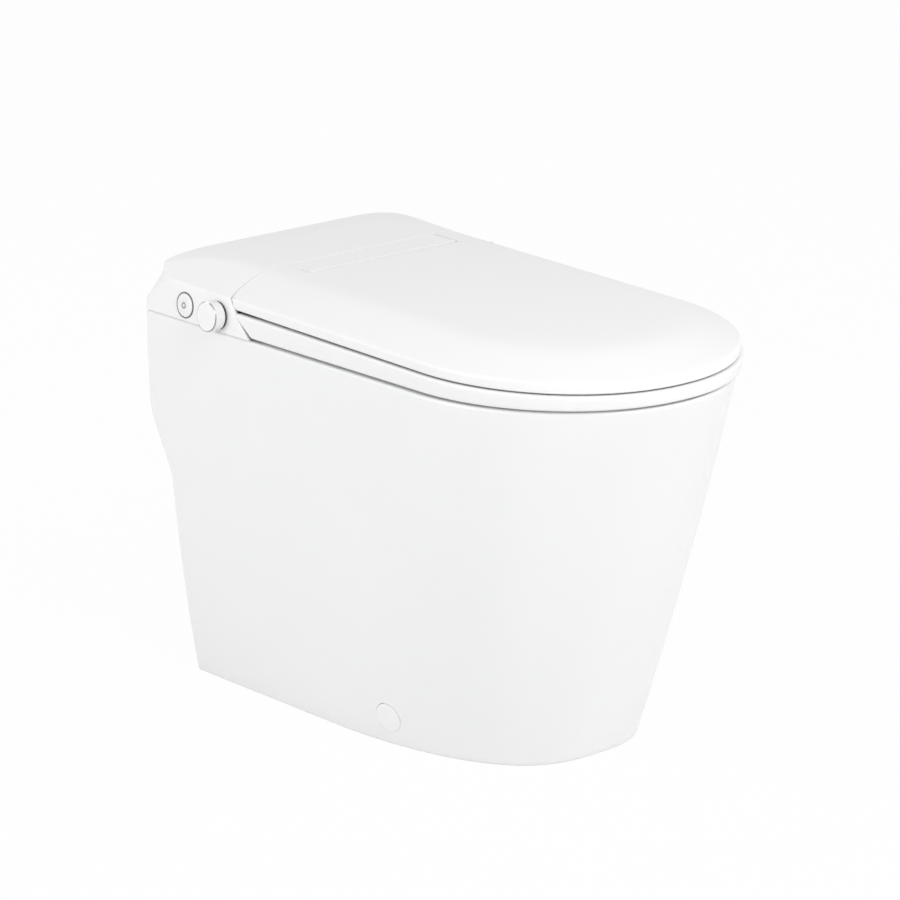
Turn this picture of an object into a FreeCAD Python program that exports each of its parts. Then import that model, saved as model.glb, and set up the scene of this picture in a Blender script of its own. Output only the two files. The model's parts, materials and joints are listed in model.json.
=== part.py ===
import FreeCAD
import Part
import math
import os

V = FreeCAD.Vector
X_AXIS = V(1, 0, 0)
Y_AXIS = V(0, 1, 0)
Z_AXIS = V(0, 0, 1)

# All sizes are millimetres. The origin is the centre of the floor outlet at floor level,
# +Y runs to the wall, +Z up, and the person sits facing -Y.

# Ceramic pedestal
rim_height = 417.5
body_width = 380.0
body_rear = 301.0
body_front = -354.0
rim_round_start = -148.0
rim_squareness = 1.92
foot_width = 298.7
foot_rear = 272.0
foot_front = -224.7
foot_round_start = 33.0
foot_squareness = 2.9
side_bulge = 10.0
recess_rear = 271.0
recess_low = 222.0
recess_high = 317.0
recess_lean = 0.05
rear_corner = 5.0
least_corner = 3.0
ceramic_wall = 11.0
rim_thickness = 22.0

# Bowl, trapway and outlet inside the ceramic; the profile gives shares of depth and of closing in
bowl_half_width = 142.0
bowl_front = -322.0
bowl_rear = 100.0
bowl_floor = 100.0
bowl_profile = [(0.0, 0.0), (0.12, 0.04), (0.36, 0.24), (0.60, 0.56), (0.82, 0.84), (1.0, 1.0)]
sump_y = -140.0
sump_half_width = 36.0
sump_half_length = 42.0
trap_radius = 27.0
trap_wall = 9.0
trap_bend = 40.0
trap_entry_height = 122.0
trap_rise = 190.0
outlet_seal_height = 16.0
outlet_seal_width = 16.0

# Rear compartment of the ceramic, open to the unit above it
bay_front = 166.0
bay_half_width = 172.0
bay_floor = 300.0
bay_corner = 12.0

# Side fixing to the floor brackets
fixing_y = -60.0
fixing_height = 32.0
fixing_cap_radius = 16.4
fixing_cap_depth = 4.0
fixing_cap_proud = 1.4
fixing_cap_edge = 0.9
fixing_cap_wall = 2.0
fixing_cap_room = 3.5
fixing_cap_gap = 0.3
fixing_screw_radius = 3.0
fixing_hole_radius = 7.0
screw_head_height = 2.4
washer_rim = 2.5
washer_thickness = 1.0
bracket_plate = 4.0
bracket_foot = 46.0
bracket_width = 40.0
bracket_inset = 2.1
anchor_setback = 25.3
anchor_hole_radius = 4.5

# Water inlet, cord gland and what stands in the rear compartment
service_height = 190.0
service_x = 100.0
service_face = 265.0
service_hole_radius = 12.0
service_hole_depth = 30.0
collar_radius = 17.0
collar_depth = 5.0
collar_gap = 1.0
inlet_radius = 10.4
inlet_wall = 3.0
inlet_thread_length = 14.0
inlet_bend = 20.0
inlet_socket = 6.0
inlet_gap = 0.6
riser_y = 222.0
gland_step = 1.0
gland_gap = 0.5
gland_sleeve_inside = 22.0
gland_sleeve_outside = 8.0
gland_nut_radius = 9.0
gland_nut_length = 9.0
gland_bore_radius = 3.6
valve_half_width = 24.0
valve_front = 26.0
valve_rear = 34.0
valve_height = 38.0
valve_corner = 6.0
coil_radius = 15.0
coil_height = 30.0
coil_setback = 14.0
pump_half_width = 46.0
pump_gap = 14.0
pump_depth = 82.0
pump_height = 68.0
pump_corner = 10.0
pump_motor_radius = 32.0
pump_motor_height = 30.0
pump_port_depth = 14.0
rim_pipe_x = 66.0
rim_pipe_height = rim_height - 58.0
rim_pipe_front = 62.0
rim_pipe_entry = 10.0
rim_pipe_radius = 11.0
rim_pipe_wall = 2.5
seal_radius = 15.0
supply_left = -62.0
supply_right = 8.0
supply_depth = 86.0
supply_height = 46.0
supply_corner = 4.0

# Washing unit, lid and seat outline; the crown levels are shares of its span
tray_thickness = 2.0
tray_inset = 2.0
tray_arm_gap = 4.0
tray_tongue_gap = 4.0
unit_width = 380.0
unit_front = -357.5
unit_round_start = -156.0
unit_squareness = 2.1
cover_wall = 3.0
crease_height = rim_height + 39.9
crease_side_inset = 3.0
crease_rear_inset = 12.5
cover_waist_height = rim_height + 13.0
crease_corner = 16.0
plateau_height = crease_height + 23.0
top_fall = 0.0185
crown_slope = 0.41
crown_softness = 2.2
crown_span = 100.0
crown_levels = [0.0, 0.05, 0.14, 0.27, 0.42, 0.57, 0.72, 0.86, 1.0]
crown_rear_depth = 20.0
crown_corner_gain = 0.3
crown_flare = 0.42
crown_flare_start = 150.0
arm_foot_y = 119.5
arm_slope = 0.967
arm_top = rim_height + 35.0
arm_ledge_rise = 0.1
cover_front_gap = 4.5
cover_window_height = 30.0
window_nozzle_margin = 16.0
window_duct_margin = 2.0

# Plugs and screws that hold the tray to the rim
plug_x = 128.0
plug_y = 134.0
plug_radius = 7.0
plug_overhang = 6.0
deck_screw_radius = 2.5
deck_head_radius = 5.0
deck_head_height = 2.6

# Hinge line of lid and seat; the taper gives shares of the way out and of the radius left
hinge_y = 139.3
hinge_height = plateau_height - 17.5
barrel_radius = 26.6
barrel_end_radius = 15.3
barrel_full_length = 20.0
barrel_end_length = 14.0
barrel_overrun = 10.0
barrel_taper = [(0.30, 0.84), (0.62, 0.42), (0.86, 0.12)]
seam_gap = 0.8
bridge_half_width = 101.4
bridge_gap = 0.5
bridge_wall = 3.0
bridge_window_height = 24.0
bridge_window_front = 10.0
strip_thickness = 3.5
rib_thickness = 3.0
rib_half_depth = 11.0
rib_drop = 10.0
pin_radius = 5.0
running_gap = 0.05
damper_radius = 10.5
damper_length = 54.0
damper_bore_spare = 1.0
pin_end = 142.0
pin_end_gap = 0.4
pin_start = 62.0
pin_entry_length = 10.0
pin_entry_gap = 0.6

# Lid
lid_wall = 4.0
lid_bottom = rim_height + 29.6
lid_rear_bottom = hinge_height - 7.0
lid_rear_step = 6.0
lid_cheek_depth = 5.0
lid_boss_start = 122.6
lid_boss_end = 143.0
lid_boss_cover = 1.0
lid_web_half = 5.0
lid_post_radius = 7.5
lid_foot_radius = 7.0
lid_feet_at = [(150.0, -40.0), (104.0, -270.0)]
ear_radius = 10.5

# Seat; its edge profiles give the height from the bottom or the top and the inset there
seat_bottom = rim_height + 2.6
seat_top = lid_bottom - 3.2
seat_side_inset = 0.5
seat_front_overhang = 1.0
seat_rear_reach = 20.0
seat_bottom_edge = [(0.0, 3.0), (1.4, 1.3), (3.36, 0.4), (5.6, 0.0)]
seat_top_edge = [(3.36, 0.0), (0.98, 0.8), (0.0, 2.4)]
seat_wall = 3.5
seat_lip = 5.5
seat_lip_step = 2.0
seat_opening_half_width = 106.0
seat_opening_front = -300.0
seat_opening_rear = 58.0
seat_bar_rear = hinge_y - 29.0
seat_tail_width = 10.0
seat_arm_gap = 1.2
seat_ear_start = 106.6
seat_ear_end = 121.6
seat_arm_under = (2.0, -9.0)
seat_arm_over = (-7.0, 7.0)
seat_arm_reach = 16.0
seat_arm_root = 2.0
seat_arm_foot = 4.0
seat_base_thickness = 2.5
seat_foot_radius = 9.0
seat_feet_at = [(160.0, -40.0), (122.0, -252.0)]
heater_margin = 5.0
heater_rear_gap = 20.0
heater_thickness = 0.6

# Button and knob on the side panel
control_height = rim_height + 18.4
panel_cut = 12.0
button_y = 229.7
button_radius = 13.0
button_proud = 1.8
button_edge = 0.8
button_skirt = 4.0
button_stem = 9.0
button_gap = 0.4
button_stroke = 1.5
bezel_radius = 15.0
bezel_seat = 0.2
bezel_thickness = 1.0
bezel_lip = 1.2
bezel_tail = 1.0
switch_half_width = 4.0
switch_gap = 0.4
knob_y = 172.8
knob_radius = 15.2
knob_reach = 17.0
knob_gap = 0.8
knob_stroke = 1.2
knob_edge = 1.2
knob_face = 3.5
knob_wall = 2.0
knob_hub = 2.5
knob_rim_setback = 4.2
knob_rim_width = 2.2
knob_rim_depth = 1.0
knob_rim_proud = 0.3
stem_radius = 3.0
stem_gap = 1.5
stem_inside = 12.0
stem_grip = 9.0
encoder_half_width = 6.2
encoder_top = 8.0
encoder_bore = 16.0
side_board_x = 168.0
side_board_front = 7.0
side_board_rear = 14.0
side_board_rise = 6.0

# Nozzle, its drive and its nose under the tray
nose_front = 100.0
nose_rear = 152.0
nose_half_width = 68.0
nose_floor = rim_height - 24.0
nose_wall = 2.5
nose_cut = 15.0
pocket_gap = 3.0
pocket_reach = 60.0
pocket_lip = 10.0
nozzle_x = -18.0
nozzle_port_height = rim_height - 11.4
nozzle_angle = 24.0
nozzle_radius = 7.0
nozzle_bore = 2.0
nozzle_length = 124.0
nozzle_recess = 1.5
nozzle_travel = 84.0
nozzle_port_gap = 1.2
nozzle_relief = 2.0
tip_length = 16.0
tip_round = 3.0
jet_radius = 0.7
jet_setback = 7.0
jet_pitch = 2.2
gear_module = 1.0
gear_backlash = 0.30
pressure_angle = 20.0
rack_reach = 3.0
rack_root = 2.0
rack_half_height = 3.0
rack_slot_gap = 0.8
rack_tip_gap = 2.0
rack_addendum = 0.8
rack_lead_teeth = 2
rack_spare_teeth = 5
tooth_sink = 0.2
pinion_teeth = 14
pinion_setback = 34.0
pinion_half_width = 2.5
pinion_addendum = 0.9
pinion_dedendum = 1.15
pinion_shaft_radius = 1.5
pinion_shaft_drop = 9.0
motor_radius = 8.0
motor_drop = 4.0
motor_length = 13.0
motor_bore_depth = 7.0
motor_foot_front = 26.0
motor_foot_length = 20.0
motor_foot_height = 3.0
guide_wall = 3.0
guide_height = 3.85
guide_length = 16.0
guide_leg_half = 5.6
front_guide_setback = 8.0
rear_guide_setback = 96.0

# Dryer
blower_x = 80.0
blower_y = 226.0
blower_radius = 36.0
blower_height = 24.0
blower_wall = 2.0
fan_hole_radius = 3.0
fan_shaft_radius = 2.0
fan_shaft_reach = 14.0
fan_motor_radius = 14.0
fan_motor_height = 14.0
fan_motor_bore = 11.0
impeller_radius = 28.0
impeller_gap = 2.0
impeller_blades = 12
impeller_hub_radius = 6.0
impeller_disc = 1.5
blade_depth = 11.0
blade_inset = 0.5
blade_pivot = 6.0
blade_half_thickness = 0.7
blade_angle = 32.0
duct_x = 47.0
duct_width = 34.0
duct_wall = 1.5
duct_rear = 188.0
duct_ramp_foot = 118.0
duct_ramp_head = 147.0
duct_roof_foot_shift = 2.0
duct_roof_head_shift = 3.0
duct_wall_shift = 0.6
duct_seat = 1.0
duct_mouth_height = 19.0
duct_step = 2.0
duct_height = 17.0
vent_below = 6.5
vent_above = 8.5
flap_height = rim_height - 12.0
flap_gap = 0.8
flap_thickness = 1.4
flap_drop = 8.5
flap_axis_out = 1.6
flap_axis_rise = 11.5
flap_pin_radius = 1.2
flap_pin_reach = 2.4
lug_gap = 0.6
lug_width = 2.0
lug_half_height = 2.2

# Water heater and control board on the tray; blocks are placed from the board's front left corner
tank_left = -158.0
tank_right = -86.0
tank_front = 192.0
tank_rear = 264.0
tank_height = 32.0
tank_corner = 8.0
spout_x = -100.0
spout_radius = 5.0
spout_length = 12.0
board_left = -68.0
board_right = 32.0
board_front = 228.0
board_rear = 278.0
board_lift = 8.0
board_thickness = 1.6
board_post_radius = 2.5
board_post_inset = 6.0
board_blocks = [(10.0, 34.0, 12.0, 34.0, 7.4), (42.0, 60.0, 8.0, 26.0, 2.4), (48.0, 92.0, 36.0, 44.0, 6.4)]
capacitor_radius = 5.0
capacitor_height = 14.0
capacitors_at = [(74.0, 22.0), (88.0, 22.0)]

# Fineness of the curves, and how far cutting bodies reach past what they cut
nose_steps = 16
oval_points = 16
body_levels = 5
flank_points = 5
slope_step = 1.0
overcut = 1.0
deep_cut = 5.0
cut_reach = 60.0
edge_tolerance = 0.01

# Worked out from the sizes above
TRAY_TOP = rim_height + tray_thickness
TRAY_FRONT = hinge_y - barrel_radius - tray_tongue_gap
STRIP_FOOT = plateau_height - strip_thickness
LOW = rim_height - cut_reach
HIGH = plateau_height + cut_reach
PANEL_LEAN = crease_side_inset / (crease_height - rim_height)
PANEL_OUT = V(-1.0, 0, PANEL_LEAN).normalize()
KNOB_LIFT = knob_gap + knob_stroke
PORT = V(nozzle_x, nose_front, nozzle_port_height)
NOZZLE_BACK = V(0, math.cos(math.radians(nozzle_angle)), math.sin(math.radians(nozzle_angle)))
RACK_LINE = nozzle_radius + rack_reach
PITCH_RADIUS = gear_module * pinion_teeth / 2.0
DUCT_LEFT = duct_x - duct_width / 2.0
DUCT_RIGHT = duct_x + duct_width / 2.0
DIAGONAL = math.sqrt(0.5)


def box(x0, x1, y0, y1, z0, z1):
    return Part.makeBox(x1 - x0, y1 - y0, z1 - z0, V(x0, y0, z0))


def rounded_box(x0, x1, y0, y1, z0, z1, radius):
    """A box with its upright edges rounded."""
    body = box(x0, x1, y0, y1, z0, z1)
    upright = [e for e in body.Edges if abs(e.Vertexes[0].Z - e.Vertexes[1].Z) > (z1 - z0) / 2.0]
    return body.makeFillet(radius, upright)


def rod(x0, x1, y, z, radius):
    """A cylinder along X."""
    return Part.makeCylinder(radius, x1 - x0, V(x0, y, z), X_AXIS)


def upright_rod(radius, z0, z1):
    """A cylinder along Z from the origin's axis."""
    return Part.makeCylinder(radius, z1 - z0, V(0, 0, z0))


def tube(start, axis, length, outer, inner):
    return Part.makeCylinder(outer, length, start, axis).cut(Part.makeCylinder(inner, length, start, axis))


def slab_x(points, x0, x1):
    """A straight-sided outline in the YZ plane carried along X."""
    wire = Part.makePolygon([V(x0, y, z) for y, z in points + points[:1]])
    return Part.Face(wire).extrude(V(x1 - x0, 0, 0))


def top_edges(shape, z):
    """The edges of a turned shape at the end where its outer edge is rounded."""
    return [e for e in shape.Edges if abs(e.CenterOfMass.z - z) < edge_tolerance]


def mirrored(shape):
    return shape.mirror(V(0, 0, 0), X_AXIS)


def pair(shape):
    """A piece and its twin on the other side."""
    return Part.makeCompound([shape, mirrored(shape)])


def mix(a, b, t):
    return a + (b - a) * t


def ring(z, half, rear, corner, start, front, square, flare=0.0, fall=0.0):
    """One level of a body: straight rear and sides, rounded rear corners and a rounded front.

    The flare widens it toward the rear corners, the fall tips it down to the front about the hinge line.
    """
    def at(x, y):
        return V(x, y, z + fall * (y - hinge_y))

    points = []
    for i in range(nose_steps + 1):
        t = math.pi * i / nose_steps
        c = math.cos(t) if 2 * i != nose_steps else 0.0
        x = half * math.copysign(abs(c) ** (2.0 / square), c)
        points.append(at(x, start - (start - front) * math.sin(t)))
    nose = Part.BSplineCurve()
    nose.interpolate(Points=points, InitialTangent=V(0, -1, -fall), FinalTangent=V(0, 1, fall))
    k = corner * (1.0 - DIAGONAL)
    wide = half + flare
    left = [at(-wide, rear - corner), at(-wide + k, rear - k), at(-wide + corner, rear)]
    right = [at(wide - corner, rear), at(wide - k, rear - k), at(wide, rear - corner)]
    bend_left = at(-half, crown_flare_start)
    bend_right = at(half, crown_flare_start)
    edges = [nose.toShape(),
             Part.makeLine(points[-1], bend_left),
             Part.makeLine(bend_left, left[0]),
             Part.Arc(*left).toShape(),
             Part.makeLine(left[2], right[0]),
             Part.Arc(*right).toShape(),
             Part.makeLine(right[2], bend_right),
             Part.makeLine(bend_right, points[0])]
    return Part.Wire(edges)


def tipped(z, y):
    """Height at a depth of a plane that falls to the front like the lid."""
    return z + top_fall * (y - hinge_y)


def tipped_slab(z0, z1):
    """Everything between two planes that fall to the front like the lid."""
    front = unit_front - cut_reach
    back = body_rear + cut_reach
    return slab_x([(front, tipped(z0, front)), (back, tipped(z0, back)), (back, tipped(z1, back)),
                   (front, tipped(z1, front))], -unit_width, unit_width)


def oval(z, y, half_width, half_length):
    """A closed ellipse round a point on the centre line."""
    points = []
    for i in range(oval_points):
        t = 2.0 * math.pi * i / oval_points
        points.append(V(half_width * math.cos(t), y + half_length * math.sin(t), z))
    curve = Part.BSplineCurve()
    curve.interpolate(Points=points, PeriodicFlag=True)
    return Part.Wire(curve.toShape())


def body_half(z):
    """Half width of the pedestal at a height, from the foot to the rim with a bulge between them."""
    s = max(z, 0.0) / rim_height
    return mix(foot_width, body_width, s) / 2.0 + 4.0 * side_bulge * s * (1.0 - s)


def body_ring(z, shrink):
    s = max(z, 0.0) / rim_height
    front = mix(foot_front, body_front, s)
    return ring(z, body_half(z) - shrink, body_rear - shrink, max(rear_corner - shrink, least_corner),
                mix(foot_round_start, rim_round_start, s), front + shrink,
                mix(foot_squareness, rim_squareness, s))


def body_loft(shrink, low, top):
    """The pedestal's skin drawn back to its rear corners, before the rear face is shaped."""
    rings = [body_ring(mix(0.0, top, i / (body_levels - 1.0)), shrink) for i in range(body_levels)]
    body = Part.makeLoft(rings, True, False)
    if low < 0.0:
        body = body.fuse(Part.Face(rings[0]).extrude(V(0, 0, low)))
    return body


def rear_cutter(shrink):
    """Everything behind the pedestal's rear face, which steps in and leans forward below."""
    far = body_rear + cut_reach
    over = rim_height + cut_reach
    under = -cut_reach
    rear = body_rear - shrink
    inner = recess_rear - shrink
    foot = foot_rear - shrink
    step = [V(0, inner, recess_low), V(0, mix(inner, rear, 0.5), mix(recess_low, recess_high, 0.5)),
            V(0, rear, recess_high)]
    curve = Part.BSplineCurve()
    curve.interpolate(Points=step, InitialTangent=V(0, recess_lean, 1), FinalTangent=V(0, recess_lean, 1))
    heel = V(0, foot, 0)
    corners = [V(0, rear, over), V(0, far, over), V(0, far, under), V(0, foot, under), heel]
    edges = [Part.makeLine(heel, curve.StartPoint), curve.toShape(),
             Part.makeLine(curve.EndPoint, corners[0])]
    edges += [Part.makeLine(a, b) for a, b in zip(corners[:-1], corners[1:])]
    face = Part.Face(Part.Wire(edges))
    face.translate(V(-body_width, 0, 0))
    return face.extrude(V(2.0 * body_width, 0, 0))


def side_point(y, z):
    """How far the pedestal's skin stands from the middle plane at a depth and a height."""
    s = z / rim_height
    half = body_half(z)
    start = mix(foot_round_start, rim_round_start, s)
    front = mix(foot_front, body_front, s)
    square = mix(foot_squareness, rim_squareness, s)
    if y >= start:
        return half
    t = math.asin(min(1.0, (start - y) / (start - front)))
    return half * math.cos(t) ** (2.0 / square)


def crown(inset):
    """Height of the closed top at a distance in from its crease: a slope that softens to a plateau."""
    slope = crease_height + crown_slope * inset
    mean = (slope + plateau_height) / 2.0
    half = (slope - plateau_height) / 2.0
    return mean - math.sqrt(half * half + crown_softness * crown_softness)


def unit_form(shrink, low):
    """The closed outside of cover, lid and hinge strip together, shrunk by a wall thickness."""
    half = unit_width / 2.0 - shrink
    rear = body_rear - shrink
    front = unit_front + shrink
    corner = max(rear_corner - shrink, least_corner)
    side_top = half - crease_side_inset
    lift = crown(0.0)

    def wall(z, inset_side, inset_rear, radius, fall=0.0):
        return ring(z, half - inset_side, rear - inset_rear, radius, unit_round_start,
                    front + inset_side, unit_squareness, 0.0, fall)

    foot = wall(low, PANEL_LEAN * (low - rim_height), 0.0, corner)
    waist = wall(cover_waist_height, PANEL_LEAN * (cover_waist_height - rim_height), 0.0, corner)
    crease = wall(lift - shrink, crease_side_inset, crease_rear_inset, crease_corner, top_fall)
    skirt = Part.makeLoft([foot, waist], True, True)
    chest = Part.makeLoft([waist, crease], True, True)
    rings = []
    for share in crown_levels:
        inset = share * crown_span
        z = crown(inset)
        climb = (z - lift) / (crown(crown_span) - lift)
        back = crease_rear_inset + crown_rear_depth * (1.0 - math.sqrt(max(0.0, 1.0 - climb * climb)))
        radius = crease_corner + crown_corner_gain * inset
        rings.append(ring(z - shrink, side_top - inset, rear - back, radius, unit_round_start,
                          front + crease_side_inset + inset, unit_squareness, crown_flare * inset, top_fall))
    dome = Part.makeLoft(rings, True, False)
    return skirt.fuse([chest, dome]).removeSplitter()


def barrel(gap):
    """The round rear end of the lid: a body turned about the hinge line, slimmer toward the sides."""
    half = unit_width / 2.0 + barrel_overrun
    inner = bridge_half_width + barrel_full_length
    span = half - barrel_end_length - inner
    big = barrel_radius + gap
    small = barrel_end_radius + gap
    points = [V(inner, hinge_y + big, hinge_height)]
    for out, left in barrel_taper:
        points.append(V(inner + out * span, hinge_y + mix(small, big, left), hinge_height))
    points.append(V(half, hinge_y + small, hinge_height))
    curve = Part.BSplineCurve()
    curve.interpolate(Points=points, InitialTangent=X_AXIS, FinalTangent=X_AXIS)
    start = V(0, hinge_y + big, hinge_height)
    base = V(0, hinge_y, hinge_height)
    tip = V(half, hinge_y, hinge_height)
    outline = Part.Wire([Part.makeLine(base, start), Part.makeLine(start, points[0]), curve.toShape(),
                         Part.makeLine(points[-1], tip), Part.makeLine(tip, base)])
    side = Part.Face(outline).revolve(base, X_AXIS, 360)
    return side.fuse(mirrored(side)).removeSplitter()


def closed_unit_ring(z, shrink):
    """The plan outline shared by the tray, the cover foot, the lid and the seat."""
    return ring(z, unit_width / 2.0 - shrink, body_rear - shrink, rear_corner, unit_round_start,
                unit_front + shrink, unit_squareness)


def panel_half(z):
    """Half width of the leaning side panel at a height."""
    return unit_width / 2.0 - PANEL_LEAN * (z - rim_height)


def on_panel(shape, y):
    """Stand a shape made along +Z from the origin on the control panel, pointing out of it."""
    foot = V(-panel_half(control_height), y, control_height)
    shape.Placement = FreeCAD.Placement(foot, FreeCAD.Rotation(Z_AXIS, PANEL_OUT))
    return shape


def bowl_sections(grow):
    """The bowl from the rim down to the sump, widened by a wall."""
    length = (bowl_rear - bowl_front) / 2.0
    middle = (bowl_rear + bowl_front) / 2.0
    rings = []
    for drop, close in bowl_profile:
        z = mix(rim_height, bowl_floor - grow, drop)
        rings.append(oval(z, mix(middle, sump_y, close), mix(bowl_half_width, sump_half_width, close) + grow,
                          mix(length, sump_half_length, close) + grow))
    return Part.makeLoft(rings, True, False)


def trap_pipe(radius, low):
    """The passage from the sump over the weir and down to the floor outlet."""
    up = -2.0 * trap_bend
    foot = up - trap_bend
    z0 = trap_entry_height
    z1 = z0 + trap_bend
    d = trap_bend * DIAGONAL
    top = trap_rise
    edges = [Part.makeLine(V(0, sump_y, z0), V(0, foot, z0)),
             Part.Arc(V(0, foot, z0), V(0, foot + d, z1 - d), V(0, up, z1)).toShape(),
             Part.makeLine(V(0, up, z1), V(0, up, top)),
             Part.Arc(V(0, up, top), V(0, -trap_bend, top + trap_bend), V(0, 0, top)).toShape(),
             Part.makeLine(V(0, 0, top), V(0, 0, low))]
    section = Part.Wire(Part.makeCircle(radius, V(0, sump_y, z0), Y_AXIS))
    return Part.Wire(edges).makePipeShell([section], True, False)


def fixing_frame():
    """Point of the side fixing on the pedestal's skin, and its direction across the pedestal."""
    x = side_point(fixing_y, fixing_height)
    over = side_point(fixing_y, fixing_height + slope_step)
    under = side_point(fixing_y, fixing_height - slope_step)
    lean = (over - under) / (2.0 * slope_step)
    return V(x, fixing_y, fixing_height), V(1.0, 0.0, -lean).normalize()


def at_fixing(shape):
    """Stand a shape made along +Z from the origin on the side fixing, pointing out of it."""
    point, out = fixing_frame()
    shape.Placement = FreeCAD.Placement(point, FreeCAD.Rotation(Z_AXIS, out))
    return shape


def ceramic_body():
    outer = body_loft(0.0, 0.0, rim_height).cut(rear_cutter(0.0))
    hollow = body_loft(ceramic_wall, -deep_cut, rim_height - rim_thickness).cut(rear_cutter(ceramic_wall))
    under_rim = rim_height - overcut
    over_rim = rim_height + overcut
    bay_wall = box(-body_width, body_width, bay_front - ceramic_wall, body_rear, bay_floor - ceramic_wall,
                   under_rim).common(outer)
    basin = bowl_sections(ceramic_wall).common(outer)
    pocket_half = nose_half_width + pocket_gap
    pocket_front = bowl_rear - pocket_reach
    pocket_rear = nose_rear + pocket_gap
    pocket_floor = nose_floor - pocket_gap
    shelf = box(-pocket_half - ceramic_wall, pocket_half + ceramic_wall, pocket_front - pocket_lip,
                pocket_rear + ceramic_wall, pocket_floor - ceramic_wall, under_rim)
    body = outer.cut(hollow).fuse([bay_wall, basin, shelf, trap_pipe(trap_radius + trap_wall, 0.0)])
    bay = rounded_box(-bay_half_width, bay_half_width, bay_front, body_rear - ceramic_wall,
                      bay_floor, over_rim, bay_corner)
    mouth = oval(rim_height, (bowl_rear + bowl_front) / 2.0, bowl_half_width, (bowl_rear - bowl_front) / 2.0)
    lip = Part.Face(mouth).extrude(V(0, 0, overcut))
    pocket = box(-pocket_half, pocket_half, pocket_front, pocket_rear, pocket_floor, over_rim)
    cuts = [bay, bowl_sections(0.0), lip, trap_pipe(trap_radius, -deep_cut), pocket]
    recess = upright_rod(fixing_cap_radius + fixing_cap_gap, -fixing_cap_depth, 3.0 * fixing_cap_depth)
    hole = upright_rod(fixing_hole_radius, -3.0 * ceramic_wall, 0.0)
    fixing = at_fixing(recess.fuse(hole))
    cuts += [fixing, mirrored(fixing)]
    for x in (-service_x, service_x):
        start = V(x, service_face - service_hole_depth, service_height)
        cuts.append(Part.makeCylinder(service_hole_radius, cut_reach, start, Y_AXIS))
        seat = V(x, service_face, service_height)
        cuts.append(Part.makeCylinder(collar_radius + collar_gap, cut_reach, seat, Y_AXIS))
    riser = V(-service_x, riser_y, bay_floor - 2.0 * ceramic_wall)
    cuts.append(Part.makeCylinder(inlet_radius + inlet_gap, 4.0 * ceramic_wall, riser))
    spout = V(rim_pipe_x, rim_pipe_front - 2.0 * rim_pipe_radius, rim_pipe_height)
    cuts.append(Part.makeCylinder(rim_pipe_radius, cut_reach, spout, Y_AXIS))
    seal = V(rim_pipe_x, bay_front - 2.0 * ceramic_wall, rim_pipe_height)
    cuts.append(Part.makeCylinder(seal_radius, 3.0 * ceramic_wall, seal, Y_AXIS))
    for x in (-plug_x, plug_x):
        start = V(x, plug_y, rim_height - 1.5 * rim_thickness)
        cuts.append(Part.makeCylinder(plug_radius, 2.0 * rim_thickness, start))
    return body.cut(cuts)


def outlet_seal():
    inner = trap_radius + trap_wall
    return tube(V(0, 0, 0), Z_AXIS, outlet_seal_height, inner + outlet_seal_width, inner)


def bracket_face():
    """Outer face of the floor bracket's upright plate, just inside the skirt."""
    return side_point(fixing_y - bracket_width / 2.0, 0.0) - ceramic_wall - bracket_inset


def floor_brackets():
    face = bracket_face()
    y0 = fixing_y - bracket_width / 2.0
    y1 = fixing_y + bracket_width / 2.0
    plate = box(face - bracket_plate, face, y0, y1, 0.0, 2.0 * fixing_height)
    foot = box(face - bracket_foot, face, y0, y1, 0.0, bracket_plate)
    anchor = Part.makeCylinder(anchor_hole_radius, bracket_plate, V(face - anchor_setback, fixing_y, 0))
    thread = at_fixing(upright_rod(fixing_screw_radius, -cut_reach, 0.0))
    return pair(plate.fuse(foot).cut([anchor, thread]))


def side_screws():
    seat = -fixing_cap_depth
    head = upright_rod(2.0 * fixing_screw_radius, seat, seat + screw_head_height)
    washer = upright_rod(fixing_hole_radius + washer_rim, seat, seat + washer_thickness)
    point, out = fixing_frame()
    reach = (point.x - bracket_face() + 2.5 * bracket_plate) / out.x
    shank = upright_rod(fixing_screw_radius, -reach, seat)
    return pair(at_fixing(head.fuse([washer, shank])))


def side_caps():
    cap = upright_rod(fixing_cap_radius, -fixing_cap_depth, fixing_cap_proud)
    cap = cap.makeFillet(fixing_cap_edge, top_edges(cap, fixing_cap_proud))
    room = upright_rod(fixing_hole_radius + fixing_cap_room, -fixing_cap_depth,
                       fixing_cap_proud - fixing_cap_wall)
    return pair(at_fixing(cap.cut(room)))


def inlet_pipe():
    """Threaded inlet stub at the rear, its collar and the pipe up to the valve."""
    d = inlet_bend * (1.0 - DIAGONAL)
    x = -service_x
    z = service_height
    start = V(x, service_face + collar_depth + inlet_thread_length, z)
    bend = [V(x, riser_y + inlet_bend, z), V(x, riser_y + d, z + d), V(x, riser_y, z + inlet_bend)]
    path = Part.Wire([Part.makeLine(start, bend[0]), Part.Arc(*bend).toShape(),
                      Part.makeLine(bend[2], V(x, riser_y, bay_floor + inlet_socket))])

    def swept(radius):
        return path.makePipeShell([Part.Wire(Part.makeCircle(radius, start, Y_AXIS))], True, False)

    collar = Part.makeCylinder(collar_radius, collar_depth, V(x, service_face, z), Y_AXIS)
    return swept(inlet_radius).fuse(collar).cut(swept(inlet_radius - inlet_wall))


def cord_gland():
    def turned(radius, y0, y1):
        return Part.makeCylinder(radius, y1 - y0, V(service_x, service_face + y0, service_height), Y_AXIS)

    collar = turned(collar_radius - gland_step, 0.0, collar_depth)
    sleeve = turned(service_hole_radius - gland_gap, -gland_sleeve_inside, gland_sleeve_outside)
    nut = turned(gland_nut_radius, collar_depth, collar_depth + gland_nut_length)
    return collar.fuse([sleeve, nut]).cut(turned(gland_bore_radius, -cut_reach, cut_reach))


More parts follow.
